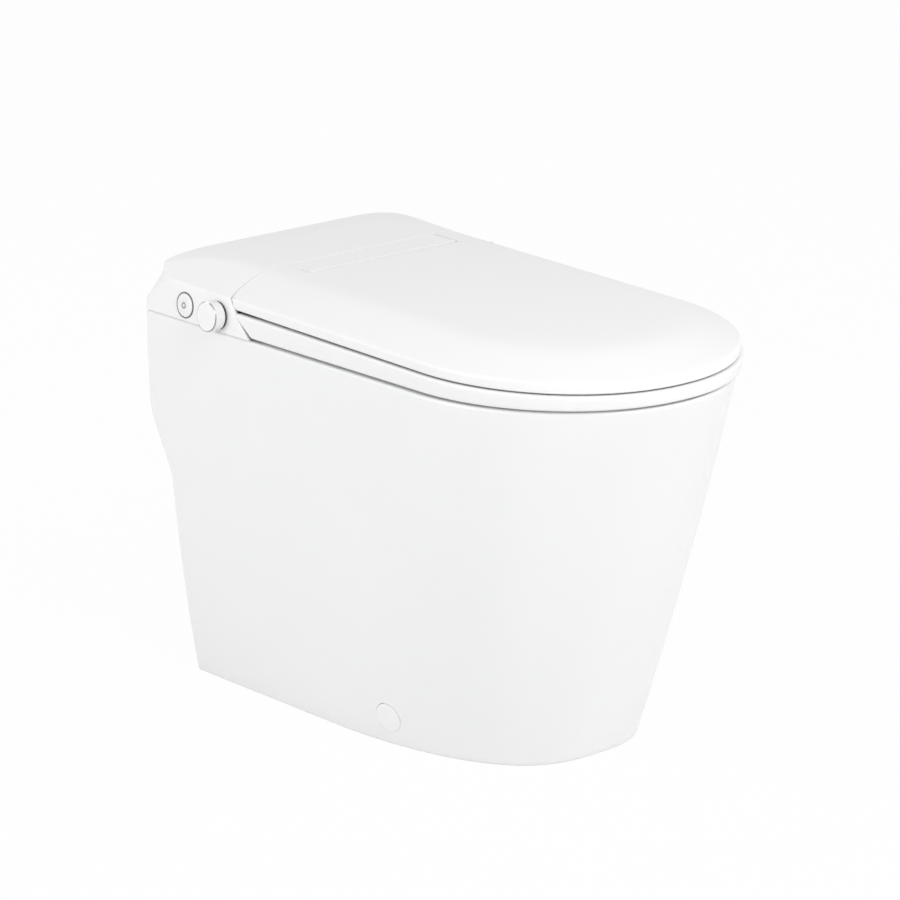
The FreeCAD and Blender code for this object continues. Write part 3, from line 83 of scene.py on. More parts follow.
class ToiletSizes(bpy.types.PropertyGroup):
    """Sizes of the dressed pieces."""
    rim_height: length("Rim height", "Height of the ceramic rim", 0.4175)
    body_width: length("Rim width", "Width of the ceramic at the rim", 0.380)
    body_rear: length("Rear face", "Rear face of the ceramic behind the outlet", 0.301)
    body_front: length("Rim front", "Foremost point of the ceramic rim", -0.354)
    foot_width: length("Foot width", "Width of the ceramic at the floor", 0.2987)
    foot_front: length("Foot front", "Foremost point of the foot", -0.2247)
    recess_rear: length("Lower rear", "Rear face below the step", 0.271)
    side_bulge: length("Side bulge", "How far the sides swell between foot and rim", 0.010)
    rim_round: length("Rim rounding", "Rounding of the top edge of the ceramic", 0.0035)
    bowl_half_width: length("Bowl half width", "Half width of the bowl mouth", 0.142)
    bowl_lip: length("Bowl lip", "Rounding of the bowl mouth", 0.011)
    unit_width: length("Unit width", "Width of seat, lid and rear cover", 0.380)
    unit_front: length("Unit front", "Foremost point of seat and lid", -0.3575)
    crease_height: length("Crease height", "Height of the crease round the closed top", 0.4574)
    plateau_height: length("Top height", "Height of the flat of the closed top", 0.4804)
    hinge_y: length("Hinge place", "Distance of the hinge line behind the outlet", 0.1393)
    hinge_height: length("Hinge height", "Height of the hinge line", 0.4629)
    strip_half_width: length("Strip half width", "Half width of the hinge strip", 0.1055)
    seam: length("Seam", "Width of the seam between lid and cover", 0.0016)
    button_y: length("Button place", "Distance of the flush button behind the outlet", 0.2297)
    button_radius: length("Button radius", "Radius of the flush button", 0.013)
    knob_y: length("Knob place", "Distance of the knob behind the outlet", 0.1728)
    knob_radius: length("Knob radius", "Radius of the knob", 0.0163)
    knob_reach: length("Knob reach", "How far the knob stands out of the panel", 0.017)
    cap_radius: length("Cap radius", "Radius of the side fixing caps", 0.0164)


class ToiletFinishes(bpy.types.PropertyGroup):
    """Colours of the dressed pieces."""
    glaze: colour("Glaze", "Colour of the glazed ceramic", (0.855, 0.857, 0.858))
    shell: colour("Shell", "Colour of the gloss plastic", (0.872, 0.873, 0.874))
    key_face: colour("Key face", "Colour of the button face", (0.84, 0.84, 0.84))
    band: colour("Knob band", "Colour of the metal edge round the knob's face", (0.36, 0.37, 0.38))
    # The trim colour also paints the shade ring round the knob's foot.
    trim: colour("Trim", "Colour of the dark rings", (0.20, 0.20, 0.205))
    matte: colour("Matte parts", "Colour of hidden white mouldings", (0.74, 0.74, 0.73))
    grey: colour("Grey parts", "Colour of grey mouldings", (0.33, 0.34, 0.35))
    rubber: colour("Rubber", "Colour of the seals", (0.035, 0.035, 0.037))


class ToiletStage(bpy.types.PropertyGroup):
    """Light and camera."""
    fill_level: number("Fill level", "Level of the even light from all sides", 0.66)
    top_power: watts("Top power", "Power of the lamp above the lid", 20.5)
    left_power: watts("Left power", "Power of the left lamp", 21.0)
    right_power: watts("Right power", "Power of the right lamp", 20.0)
    azimuth: angle("View azimuth", "Turn of the camera about the object", -41.267)
    elevation: angle("View elevation", "Height angle of the camera", 16.648)
    lens: number("Lens", "Focal length in millimetres on a 36 mm frame", 184.84)


# Lengths are in metres. The ceramic: outline of rim and foot, hollow under the foot, step in the rear.
RIM_START = -0.148
RIM_SQUARE = 1.92
FOOT_START = 0.033
FOOT_SQUARE = 2.9
FOOT_ROUND = 0.0025
FOOT_WALL = 0.011
FOOT_FACE = (0.009, 0.006)
HOLLOW_TOP = 0.086
HOLLOW_LEVELS = (0.083, 0.04, 0.002)
HOLLOW_MIDDLE = (0.0, 0.02)
STEP_LOW = 0.222
STEP_HIGH = 0.317
BODY_CORNER = 0.007
CORNER_SHRINK = 0.6
CORNER_LEAST = 0.002
SIDE_SPANS = ((0.006, 0.20, 15), (0.212, 0.33, 20))
SIDE_TOP = 0.345

# The bowl, its outlet and the room under the nozzle.
BOWL_FRONT = -0.322
BOWL_REAR = 0.100
BOWL_FLOOR = 0.100
BOWL_CLOSING = 1.5
SUMP = (0.036, 0.042, -0.140)
SUMP_RINGS = ((0.8, 0.003), (0.4, 0.005), (0.0, 0.006))
THROAT_RADIUS = 0.027
THROAT_HEIGHT = 0.122
THROAT_LENGTH = 0.12
POCKET = ((-0.071, 0.040, 0.3905), (0.071, 0.155, 0.440))

# The side fixings: place, cap profile as share of the radius and height, and the well round it.
FIXING = (-0.060, 0.032)
CAP_PROFILE = ((0.0, 0.0013), (0.25, 0.0013), (0.5, 0.0013), (0.75, 0.0013), (0.9, 0.00125),
               (0.955, 0.00105), (0.985, 0.0007), (1.0, 0.0002), (1.0, -0.0024), (0.0, -0.0024))
WELL_GAP = 0.0006
WELL_DEPTH = 0.0035
WELL_REACH = 0.012

# The closed top, shared by cover and lid: outline, facing angle up to which a wall counts as upright,
# crease, crown and fall toward the front.
UNIT_START = -0.156
UNIT_SQUARE = 2.1
UPRIGHT = 20.0
CREASE_SIDE = 0.003
CREASE_FOOT = 0.002
CREASE_CORNER = 0.0443
CROWN_SLOPE = 0.41
CROWN_SOFT = 0.0022
CROWN_SPAN = 0.100
TOP_FALL = 0.0185

# The rear cover: waist, shoulder and top corners, rear roll, side arms and edges.
WAIST_RISE = 0.013
WAIST_CORNER = 0.006
WAIST_BLEND = 0.003
SHOULDER_INSET = 0.022
SHOULDER_CORNER = 0.0175
PLATEAU_INSET = 0.056
PLATEAU_CORNER = 0.056
CROWN_DEPTH = 0.090
CROWN_LIMIT = 0.065
CROWN_ROUND = 3.49
CROWN_FLARE = 0.1425
FLARE_START = 0.150
ARM_FOOT = 0.1195
ARM_SLOPE = 0.967
ARM_RISE = 0.0335
COVER_LIFT = 0.0011
COVER_HEM = 0.0004
COVER_ROUND = 0.0030
COVER_LIP = 0.0009
COVER_LIP_DEPTH = 0.005
COVER_WALL = 0.003
COVER_SPANS = ((0.0036, 0.040, 18), (0.0415, 0.068, 22), (0.070, CROWN_SPAN, 9))
CONTROL_RISE = 0.0184

# The hinge strip between cover and lid.
STRIP_SEAM = 0.0005
STRIP_FRONT = 0.1197
STRIP_REAR = 0.1589
STRIP_LIFT = (0.0002, -0.0006)
STRIP_DEPTH = 0.0062
STRIP_ROUND = 0.0015

# The lid: round rear ends, notch for the strip, edge wall and gentler nose.
BARREL_BIG = 0.0269
BARREL_SMALL = 0.0130
BARREL_STRAIGHT = 0.107
BARREL_SPAN = 0.083
BARREL_TAPER = 2.3
BARREL_DROP = 0.007
BARREL_STEPS = 8
BARREL_LEAST = 0.02
LEAST_SQUARE = 1e-8
END_STEPS = 11
END_ROUND = 0.0010
END_DEPTH = 0.0052
CREASE_ROUND = 0.0004
CREASE_DEPTH = 0.0040
NOTCH_FRONT = 0.1189
NOTCH_FALL = 0.0015
NOTCH_TURNS = (0.22, 0.09)
NOTCH_ROLL = ((0.0010, 0.45), (0.0020, 0.12), (0.0034, 0.0))
LID_BOTTOM_RISE = 0.0285
LID_UNDER = 0.0062
LID_WALL = -0.00077
LID_ROUND = 0.0052
LID_BRIM = 0.0022
LID_BRIM_TURN = 78.0
LID_LEAN = 0.17
LID_THICKNESS = 0.004
LID_SPANS = ((0.0075, 0.040, 10), (0.044, 0.068, 9))
LID_LAST = 0.074
LID_MIDDLE = (0.112, 0.170, 6)
NOSE_LEAST = 0.0005
NOSE_SOFT = 0.0042
NOSE_BLEND = 0.15
NOSE_INSET = 0.030

# The seat: outline with its tails, edges, opening and hinge ears.
SEAT_HALF = 0.1895
SEAT_FRONT = -0.357
SEAT_BOTTOM_RISE = 0.0026
SEAT_TOP_RISE = 0.0272
SEAT_TUCK = 0.0020
SEAT_FALL = 0.0026
SEAT_FOOT = 0.003
SEAT_ROUND = 0.0020
SEAT_DISH = 0.0012
SEAT_BAR_REAR = 0.1103
SEAT_TAIL = 0.180
SEAT_GAP = 0.0021
TAIL_SPREAD = 0.3
TAIL_LEAST = 0.001
SEAT_OPENING = (0.106, -0.300, 0.058)
OPENING_UNDER = 0.004
OPENING_ROUND = 0.012
OPENING_DROP = 0.009
OPENING_WALL = 0.0005
SEAT_SHARP = math.radians(50.0)
EAR_RADIUS = 0.0105
EAR_TURN = (-60.0, 128.0)
EAR_FOOT = [(0.0943, 0.4430), (0.0900, 0.4240), (0.1080, 0.4240)]
EAR_NEAR = 0.1066
EAR_FAR = 0.1216

# The knob: its foot above the panel and the scoop in its top edge.
KNOB_FOOT = 0.0026
SCOOP_RADIUS = 0.0058
SCOOP_OUT = 0.0010
SCOOP_RISE = 0.0016

# Mesh building and surfaces.
UP = (0.0, 0.0, 1.0)
NEARLY_ALONG = 0.3
WELD = 2e-6
SLIVER = 1e-6
SHARP = math.radians(38.0)
BEVEL_FROM = math.radians(40.0)
CLOUD_EDGES = (0.30, 0.70)
CLOUD_DETAIL = 4.0
GRAIN_DETAIL = 2.0
GRAIN_DEPTH = 0.0004
SMOOTHEST = 0.02

# The stage: floor, lamps with their places and widths, and camera.
FLOOR_HALF = 6.0
PAPER_TONE = (0.8, 0.8, 0.8, 1.0)
PAPER_WHITE = 0.965
WHITE = (1.0, 1.0, 1.0, 1.0)
TOP_LAMP = ((-0.4, -1.8, 2.0), 1.0)
LEFT_LAMP = ((-2.6, 0.6, 0.9), 1.4)
RIGHT_LAMP = ((1.3, -3.1, 0.45), 0.85)
LAMP_AIM = (0.0, 0.0, 0.3)
CAMERA_AIM = (0.001626, 0.013, 0.283736)
CAMERA_DISTANCE = 5.0
FRAME_WIDTH = 36.0
CAMERA_END = 60.0


def mix(a, b, t):
    """The value a share t of the way from a to b."""
    return a + (b - a) * t


def held(t):
    """A share kept between nought and one."""
    return min(max(t, 0.0), 1.0)


def ease(t):
    """A share that starts and ends gently."""
    t = held(t)
    return t * t * (3.0 - 2.0 * t)


def nose_arc(half, start, front, square, count=97):
    """Plan points from the left side round the front to the right side."""
    t = np.linspace(math.pi, 0.0, count)
    c = np.cos(t)
    x = half * np.sign(c) * np.abs(c) ** (2.0 / square)
    y = start - (start - front) * np.sin(t)
    return np.column_stack([x, y])


def run(a, b, count):
    """Even plan points from a to b, both ends kept."""
    t = np.linspace(0.0, 1.0, count)[:, None]
    return np.array(a) + (np.array(b) - np.array(a)) * t


def quarter(cx, cy, radius, a0, a1, count):
    """Plan points on a corner arc, angles in degrees."""
    a = np.radians(np.linspace(a0, a1, count))
    return np.column_stack([cx + radius * np.cos(a), cy + radius * np.sin(a)])


def raised(plan, z):
    """Plan points lifted to a height, which may differ from point to point."""
    return np.column_stack([plan, np.broadcast_to(z, len(plan))])


def skin(rows, closed):
    """Corner points and quads of a sheet through rows of equal length."""
    count = len(rows[0])
    corners = np.concatenate(rows)
    span = count if closed else count - 1
    quads = []
    for j in range(len(rows) - 1):
        for i in range(span):
            a = j * count + i
            b = j * count + (i + 1) % count
            quads.append((a, b, b + count, a + count))
    return corners, quads


def spanned(rows):
    """A sheet through open rows, with the last row's left and right halves joined straight across."""
    corners, quads = skin(rows, False)
    count = len(rows[0])
    base = (len(rows) - 1) * count
    for k in range(count // 2 - 1):
        quads.append((base + k, base + k + 1, base + count - 2 - k, base + count - 1 - k))
    if count % 2:
        quads.append((base + count // 2 - 1, base + count // 2, base + count // 2 + 1))
    return corners, quads


def joined(*sheets):
    """Several sheets as one list of corners and faces."""
    corners, faces, start = [], [], 0
    for points, quads in sheets:
        corners.append(points)
        faces += [tuple(k + start for k in q) for q in quads]
        start += len(points)
    return np.concatenate(corners), faces


def make_mesh(name, sheet, outward=None):
    """A welded mesh with its faces turned outward, or upward where the sheet is open."""
    points, faces = sheet
    mesh = bpy.data.meshes.new(name)
    mesh.from_pydata([tuple(p) for p in points], [], faces)
    bm = bmesh.new()
    bm.from_mesh(mesh)
    bmesh.ops.remove_doubles(bm, verts=bm.verts, dist=WELD)
    bmesh.ops.dissolve_degenerate(bm, dist=SLIVER, edges=bm.edges)
    if outward is None:
        bmesh.ops.recalc_face_normals(bm, faces=bm.faces)
    else:
        bm.normal_update()
        aim = Vector(outward)
        if sum(f.normal.dot(aim) * f.calc_area() for f in bm.faces) < 0.0:
            bmesh.ops.reverse_faces(bm, faces=bm.faces)
    bm.to_mesh(mesh)
    bm.free()
    mesh.shade_smooth()
    mesh.set_sharp_from_angle(angle=SHARP)
    return mesh


def make_piece(name, sheet, material, slot, body, *nodes, outward=None):
    """Put a shape in the scene on its body, in place of the nodes that it stands for."""
    mesh = make_mesh(name, sheet, outward)
    piece = bpy.data.objects.new(name, mesh)
    bpy.context.scene.collection.objects.link(piece)
    mesh.materials.append(material)
    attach(piece, body)
    if nodes:
        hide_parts(*nodes)
    return piece


def thicken(piece, thickness):
    """Give an open sheet its wall inward."""
    wall = piece.modifiers.new("Wall", "SOLIDIFY")
    wall.thickness = thickness
    wall.offset = -1.0
    wall.use_even_offset = False


def soften(piece, width, segments):
    """Round the sharp edges of a piece."""
    edge = piece.modifiers.new("Edge", "BEVEL")
    edge.width = width
    edge.segments = segments
    edge.limit_method = "ANGLE"
    edge.angle_limit = BEVEL_FROM
    edge.use_clamp_overlap = False
    edge.harden_normals = True


def cut_out(piece, *sheets):
    """Take closed shapes out of a piece and keep the result as its mesh."""
    cutters = []
    for k, sheet in enumerate(sheets):
        cutter = bpy.data.objects.new("cutter", make_mesh("cutter", sheet))
        bpy.context.scene.collection.objects.link(cutter)
        cut = piece.modifiers.new("Cut%d" % k, "BOOLEAN")
        cut.operation = "DIFFERENCE"
        cut.solver = "EXACT"
        cut.object = cutter
        cutters.append(cutter)
    done = piece.evaluated_get(bpy.context.evaluated_depsgraph_get())
    mesh = bpy.data.meshes.new_from_object(done)
    piece.modifiers.clear()
    old = piece.data
    piece.data = mesh
    mesh.name = old.name
    bpy.data.meshes.remove(old)
    mesh.set_sharp_from_angle(angle=SHARP)
    for cutter in cutters:
        shape = cutter.data
        bpy.data.objects.remove(cutter)
        bpy.data.meshes.remove(shape)


def lathe(profile, origin, out, count=72):
    """A closed turned shape about a line: profile holds (radius, height) from axis to axis."""
    out = np.array(out) / np.linalg.norm(out)
    across = np.cross(out, (0.0, 1.0, 0.0))
    if np.linalg.norm(across) < NEARLY_ALONG:
        across = np.cross(out, UP)
    across /= np.linalg.norm(across)
    along = np.cross(out, across)
    a = np.linspace(0.0, 2.0 * math.pi, count, endpoint=False)[:, None]
    rows = [np.array(origin) + h * out + r * (np.cos(a) * across + np.sin(a) * along) for r, h in profile]
    return skin(rows, True)


def block(low, high):
    """A box as six quads."""
    x0, y0, z0 = low
    x1, y1, z1 = high
    points = np.array([(x, y, z) for z in (z0, z1) for x, y in ((x0, y0), (x1, y0), (x1, y1), (x0, y1))])
    return points, [(0, 3, 2, 1), (4, 5, 6, 7), (0, 1, 5, 4), (1, 2, 6, 5), (2, 3, 7, 6), (3, 0, 4, 7)]


def prism(outline, x0, x1):
    """A plate standing in the Y Z plane between two x values."""
    n = len(outline)
    points = np.array([(x, y, z) for x in (x0, x1) for y, z in outline])
    faces = [tuple(range(n)), tuple(range(2 * n - 1, n - 1, -1))]
    faces += [(i, (i + 1) % n, n + (i + 1) % n, n + i) for i in range(n)]
    return points, faces


def finish(name, tone, roughness, mottle=0.02, mottle_scale=9.0, grain=0.05, grain_scale=900.0, uneven=0.03,
           metallic=0.0, specular=0.5):
    """A moulded, glazed or metal surface: cloudy tone, uneven gloss and a fine surface texture."""
    material = bpy.data.materials.get(name)
    if material:
        return material
    material = bpy.data.materials.new(name)
    material.use_nodes = True
    tree = material.node_tree
    nodes, link = tree.nodes, tree.links.new
    shader = nodes["Principled BSDF"]
    shader.inputs["Metallic"].default_value = metallic
    shader.inputs["Specular IOR Level"].default_value = specular
    place = nodes.new("ShaderNodeTexCoord")
    cloud = nodes.new("ShaderNodeTexNoise")
    cloud.inputs["Scale"].default_value = mottle_scale
    cloud.inputs["Detail"].default_value = CLOUD_DETAIL
    tones = nodes.new("ShaderNodeValToRGB")
    dark, light = tones.color_ramp.elements
    dark.position, light.position = CLOUD_EDGES
    dark.color = [c * (1.0 - mottle) for c in tone] + [1.0]
    light.color = list(tone) + [1.0]
    link(place.outputs["Object"], cloud.inputs["Vector"])
    link(cloud.outputs["Fac"], tones.inputs["Fac"])
    link(tones.outputs["Color"], shader.inputs["Base Color"])
    gloss = nodes.new("ShaderNodeMapRange")
    gloss.inputs["To Min"].default_value = max(SMOOTHEST, roughness - uneven)
    gloss.inputs["To Max"].default_value = roughness + uneven
    link(cloud.outputs["Fac"], gloss.inputs["Value"])
    link(gloss.outputs["Result"], shader.inputs["Roughness"])
    fine = nodes.new("ShaderNodeTexNoise")
    fine.inputs["Scale"].default_value = grain_scale
    fine.inputs["Detail"].default_value = GRAIN_DETAIL
    bump = nodes.new("ShaderNodeBump")
    bump.inputs["Strength"].default_value = grain
    bump.inputs["Distance"].default_value = GRAIN_DEPTH
    link(place.outputs["Object"], fine.inputs["Vector"])
    link(fine.outputs["Fac"], bump.inputs["Height"])
    link(bump.outputs["Normal"], shader.inputs["Normal"])
    return material


def glaze(looks):
    """Fired glaze, even and faintly rippled."""
    return finish("glazed_ceramic", looks.glaze, 0.22, mottle=0.012, mottle_scale=6.0, grain=0.02,
                  grain_scale=140.0, uneven=0.02, specular=0.35)


def gloss_shell(looks):
    """Moulded white plastic with a soft sheen."""
    return finish("gloss_plastic", looks.shell, 0.36, mottle=0.01, mottle_scale=8.0, grain=0.03,
                  grain_scale=420.0, specular=0.28)


def dark_trim(looks):
    """Dark grey plastic of the thin rings; round the knob's foot it is painted shade."""
    return finish("dark_trim", looks.trim, 0.35, mottle=0.10, mottle_scale=60.0)


def edge_metal(looks):
    """Polished metal of the knob's edge."""
    return finish("edge_metal", looks.band, 0.25, mottle=0.06, mottle_scale=80.0, grain=0.03, metallic=1.0)


def rear_face(size, z):
    """The rear of the ceramic, stepped forward below the rim."""
    return mix(size.recess_rear, size.body_rear, ease((z - STEP_LOW) / (STEP_HIGH - STEP_LOW)))


def body_half(size, z):
    """Half width of the ceramic at a height."""
    s = z / size.rim_height
    return mix(size.foot_width, size.body_width, s) / 2.0 + 4.0 * size.side_bulge * s * (1.0 - s)


def body_plan(size, z, inset):
    """The outline of the ceramic at a height, from the left rear corner round the front and back."""
    s = z / size.rim_height
    half = body_half(size, z) - inset
    start = mix(FOOT_START, RIM_START, s)
    front = mix(size.foot_front, size.body_front, s) + inset
    square = mix(FOOT_SQUARE, RIM_SQUARE, s)
    rear = rear_face(size, z) - inset
    corner = max(BODY_CORNER - CORNER_SHRINK * inset, CORNER_LEAST)
    left = np.concatenate([quarter(corner - half, rear - corner, corner, 90.0, 180.0, 8),
                           run((-half, rear - corner), (-half, start), 26)[1:-1]])
    right = left[::-1] * (-1.0, 1.0)
    rear_run = run((half - corner, rear), (corner - half, rear), 17)[1:-1]
    return np.concatenate([left, nose_arc(half, start, front, square), right, rear_run])


def side_x(size, y, z):
    """Half width of the ceramic's skin at a place on its side."""
    s = z / size.rim_height
    start = mix(FOOT_START, RIM_START, s)
    front = mix(size.foot_front, size.body_front, s)
    ahead = held((start - y) / (start - front))
    return body_half(size, z) * (1.0 - ahead * ahead) ** (1.0 / mix(FOOT_SQUARE, RIM_SQUARE, s))


def pedestal_sheet(size):
    """The whole glazed body as one closed skin: foot, sides, rim, bowl and sump."""
    rim, r = size.rim_height, size.rim_round
    inner = body_plan(size, HOLLOW_TOP, FOOT_WALL)
    hub = np.array(HOLLOW_MIDDLE)
    rows = [raised(hub + (inner - hub) * t, HOLLOW_TOP) for t in (0.0, 0.5, 0.9, 1.0)]
    rows += [raised(body_plan(size, z, FOOT_WALL), z) for z in HOLLOW_LEVELS]
    rows += [raised(body_plan(size, 0.0, inset), 0.0) for inset in FOOT_FACE]
    for b in np.radians(np.linspace(0.0, 90.0, 5)):
        z = FOOT_ROUND * (1.0 - math.cos(b))
        rows.append(raised(body_plan(size, z, FOOT_ROUND * (1.0 - math.sin(b))), z))
    for span in SIDE_SPANS + ((SIDE_TOP, rim - r, 7),):
        rows += [raised(body_plan(size, z, 0.0), z) for z in np.linspace(*span)]
    for a in np.radians(np.linspace(15.0, 90.0, 6)):
        z = rim - r + r * math.sin(a)
        rows.append(raised(body_plan(size, min(z, rim), r * (1.0 - math.cos(a))), z))
    deck = body_plan(size, rim, r)
    hy = (BOWL_REAR - BOWL_FRONT) / 2.0
    cy = (BOWL_REAR + BOWL_FRONT) / 2.0
    turn = np.arctan2((deck[:, 1] - cy) / hy, deck[:, 0] / size.bowl_half_width)
    around = np.column_stack([np.cos(turn), np.sin(turn)])

    def oval(half, long, middle):
        return around * (half, long) + (0.0, middle)

    lip = size.bowl_lip
    mouth = oval(size.bowl_half_width + lip, hy + lip, cy)
    rows += [raised(mix(deck, mouth, t), rim) for t in (0.1, 0.5, 0.9)]
    for a in np.radians(np.linspace(0.0, 90.0, 8)):
        grow = lip * (1.0 - math.sin(a))
        rows.append(raised(oval(size.bowl_half_width + grow, hy + grow, cy), rim - lip * (1.0 - math.cos(a))))
    for d in np.linspace(0.05, 1.0, 20):
        close = d ** BOWL_CLOSING
        ring = oval(mix(size.bowl_half_width, SUMP[0], close), mix(hy, SUMP[1], close), mix(cy, SUMP[2], close))
        rows.append(raised(ring, mix(rim - lip, BOWL_FLOOR, d)))
    for t, drop in SUMP_RINGS:
        rows.append(raised(oval(SUMP[0] * t, SUMP[1] * t, SUMP[2]), BOWL_FLOOR - drop))
    return skin(rows, True)


def crown(size, inset, soft=CROWN_SOFT):
    """Height of the closed top at a distance in from its crease."""
    slope = size.crease_height + CROWN_SLOPE * inset
    mean = (slope + size.plateau_height) / 2.0
    half = (slope - size.plateau_height) / 2.0
    return mean - math.sqrt(half * half + soft * soft)


def tipped(size, z, y):
    """A height on the closed top, which falls toward the front."""
    return z + TOP_FALL * (y - size.hinge_y)


def panel_lean(size):
    """How far the cover's side panels lean in for each unit of height."""
    return CREASE_SIDE / (size.crease_height - size.rim_height)


def panel_half(size, z):
    """Half width between the cover's side panels at a height."""
    return size.unit_width / 2.0 - panel_lean(size) * (z - size.rim_height)


def crease_half(size):
    """Half width of the closed top at its crease."""
    return size.unit_width / 2.0 - CREASE_SIDE


def wall_step(size, z):
    """A step of the upright wall: inset, height and facing angle."""
    return crease_half(size) - panel_half(size, z), z, 0.0


def barrel_radius(x):
    """Radius of the lid's round rear end, slimmer toward the sides."""
    u = held((abs(x) - BARREL_STRAIGHT) / BARREL_SPAN)
    return mix(BARREL_BIG, BARREL_SMALL, u ** BARREL_TAPER)


def seam_y(size, x, z, gap):
    """Where the round rear end meets a height on the closed top."""
    reach = barrel_radius(x) + gap
    return size.hinge_y + math.sqrt(max(reach * reach - (z - size.hinge_height) ** 2, LEAST_SQUARE))


def arm_line(rise):
    """The straight slant of the cover's side arms at a height above the rim."""
    return ARM_FOOT + ARM_SLOPE * rise


def arm_y(size, z):
    """The front edge of the cover's side arms: slanted, then along the lid's round end."""
    if z <= size.rim_height + ARM_RISE:
        return arm_line(z - size.rim_height)
    return max(arm_line(ARM_RISE), seam_y(size, panel_half(size, z), z, size.seam))


def crown_profile(size, radius, low):
    """Steps up the side wall and over the softened crease: inset, height and facing angle."""
    bend = math.pi / 2.0 - math.atan(CROWN_SLOPE)
    foot = size.crease_height - radius * math.tan(bend / 2.0)
    steps = [wall_step(size, z) for z in np.linspace(low, foot, 4)[:-1]]
    for b in np.linspace(0.0, bend, 10):
        steps.append((radius * (1.0 - math.cos(b)), foot + radius * math.sin(b), math.degrees(b)))
    return steps


def crown_steps(size, first, last, count):
    """Steps over the crowned top between two distances in from the crease."""
    return [(i, crown(size, i), 90.0) for i in np.linspace(first, last, count)]


def crown_corner(inset):
    """Plan radius of the cover's rear corners at a distance in from the crease."""
    if inset < SHOULDER_INSET:
        return mix(CREASE_CORNER, SHOULDER_CORNER, ease(inset / SHOULDER_INSET))
    climb = (inset - SHOULDER_INSET) / (PLATEAU_INSET - SHOULDER_INSET)
    return mix(SHOULDER_CORNER, PLATEAU_CORNER, ease(climb))


def crown_rear(size, z):
    """Rear edge of the cover's top at a height: upright at first, then rolling over far in."""
    lift, top = crown(size, 0.0), crown(size, CROWN_SPAN)
    climb = held((z - lift) / (top - lift))
    roll = CROWN_DEPTH * (1.0 - (1.0 - climb ** CROWN_ROUND) ** (1.0 / CROWN_ROUND))
    return size.body_rear - CROWN_LIMIT * math.tanh(roll / CROWN_LIMIT)


def cover_plan(size, inset, z, front):
    """The outline of the cover behind its front edge, from left front round the rear to right front."""
    if z <= size.crease_height and inset <= 0.0:
        waist = size.rim_height + WAIST_RISE
        s = held((z - waist) / (size.crease_height - CREASE_FOOT - waist))
        half, flare = panel_half(size, z), 0.0
        rear = size.body_rear
        corner = mix(WAIST_CORNER, CREASE_CORNER, s)
    else:
        half = crease_half(size) - inset
        rear = crown_rear(size, z)
        corner = crown_corner(inset)
        flare = CROWN_FLARE * inset
    wide = half + flare
    left = run((-half, front), (-half, rear - corner), 24)
    over = np.clip((left[:, 1] - FLARE_START) / (rear - corner - FLARE_START), 0.0, 1.0)
    left[:, 0] -= flare * over
    corner_run = quarter(corner - wide, rear - corner, corner, 180.0, 90.0, 24)[1:]
    rear_run = run((corner - wide, rear), (wide - corner, rear), 19)[1:-1]
    right = np.concatenate([left, corner_run])[::-1] * (-1.0, 1.0)
    return np.concatenate([left, corner_run, rear_run, right])


def edge_lip(row, facing, radius, depth, ahead):
    """Roll both ends of a row inward over a small rounding, so that the sheet's edge looks thick."""
    a = math.radians(facing)
    ends = []
    for point, sign in ((row[0], 1.0), (row[-1], -1.0)):
        inward = np.array([sign * math.cos(a), 0.0, -math.sin(a)])
        out = np.array([0.0, ahead, 0.0])
        curl = [point + inward * radius * (1.0 - math.cos(b)) + out * radius * math.sin(b)
                for b in np.radians((30.0, 60.0, 90.0))]
        ends.append(curl + [point + out * radius + inward * depth])
    return np.concatenate([np.array(ends[0])[::-1], row, np.array(ends[1])])


def cover_sheet(size):
    """The rear cover: leaning side panels, soft crease, crowned top and slanted front arms."""
    waist = size.rim_height + WAIST_RISE
    foot = size.rim_height + COVER_LIFT
    steps = [wall_step(size, foot)]
    steps += [wall_step(size, z) for z in (waist - WAIST_BLEND, waist, waist + WAIST_BLEND)]
    steps += crown_profile(size, COVER_ROUND, foot + COVER_HEM)
    steps.sort(key=lambda step: step[1])
    for span in COVER_SPANS:
        steps += crown_steps(size, *span)
    notch = size.strip_half_width + STRIP_SEAM
    rows = []
    for inset, z, facing in steps:
        half = crease_half(size) - inset
        if facing < UPRIGHT:
            front = arm_y(size, z)
        elif half > notch:
            front = seam_y(size, half, z, size.seam)
        else:
            front = STRIP_REAR + STRIP_SEAM / 2.0
        plan = cover_plan(size, inset, z, front + COVER_LIP)
        share = held((z - waist) / (size.crease_height - COVER_LIP - waist))
        tip = TOP_FALL * (plan[:, 1] - size.hinge_y) * share
        rows.append(edge_lip(raised(plan, z + tip), facing, COVER_LIP, COVER_LIP_DEPTH, -1.0))
    return spanned(rows)


def strip_sheet(size):
    """The hinge strip: a flat bar whose rear lies a little below the cover's edge."""
    ys = np.linspace(STRIP_FRONT, STRIP_REAR, 9)
    lifts = np.linspace(*STRIP_LIFT, 9)
    top = [tipped(size, size.plateau_height + lift, y) for y, lift in zip(ys, lifts)]
    base = size.plateau_height - STRIP_DEPTH
    half = size.strip_half_width - STRIP_SEAM
    rows = []
    for x in np.linspace(-half, half, 25):
        upper = [(x, y, z) for y, z in zip(ys, top)]
        rows.append(np.array(upper + [(x, y, base) for y in ys[::-1]]))
    ends = [np.array([row.mean(axis=0)] * len(row)) for row in (rows[0], rows[-1])]
    return skin([ends[0]] + rows + [ends[1]], True)


def lid_plan(size, inset, rear):
    """The outline of the lid from its left rear end, or from the notch, round the front and back."""
    half = crease_half(size) - inset
    front = size.unit_front + CREASE_SIDE + inset
    left = run((-half, NOTCH_FRONT), (-half, UNIT_START), 40)[:-1]
    if rear is not None:
        left = np.concatenate([run((-half, rear), (-half, NOTCH_FRONT), END_STEPS + 1)[:-1], left])
    nose = nose_arc(half, UNIT_START, min(front, UNIT_START - NOSE_LEAST), UNIT_SQUARE)
    return np.concatenate([left, nose, left[::-1] * (-1.0, 1.0)])


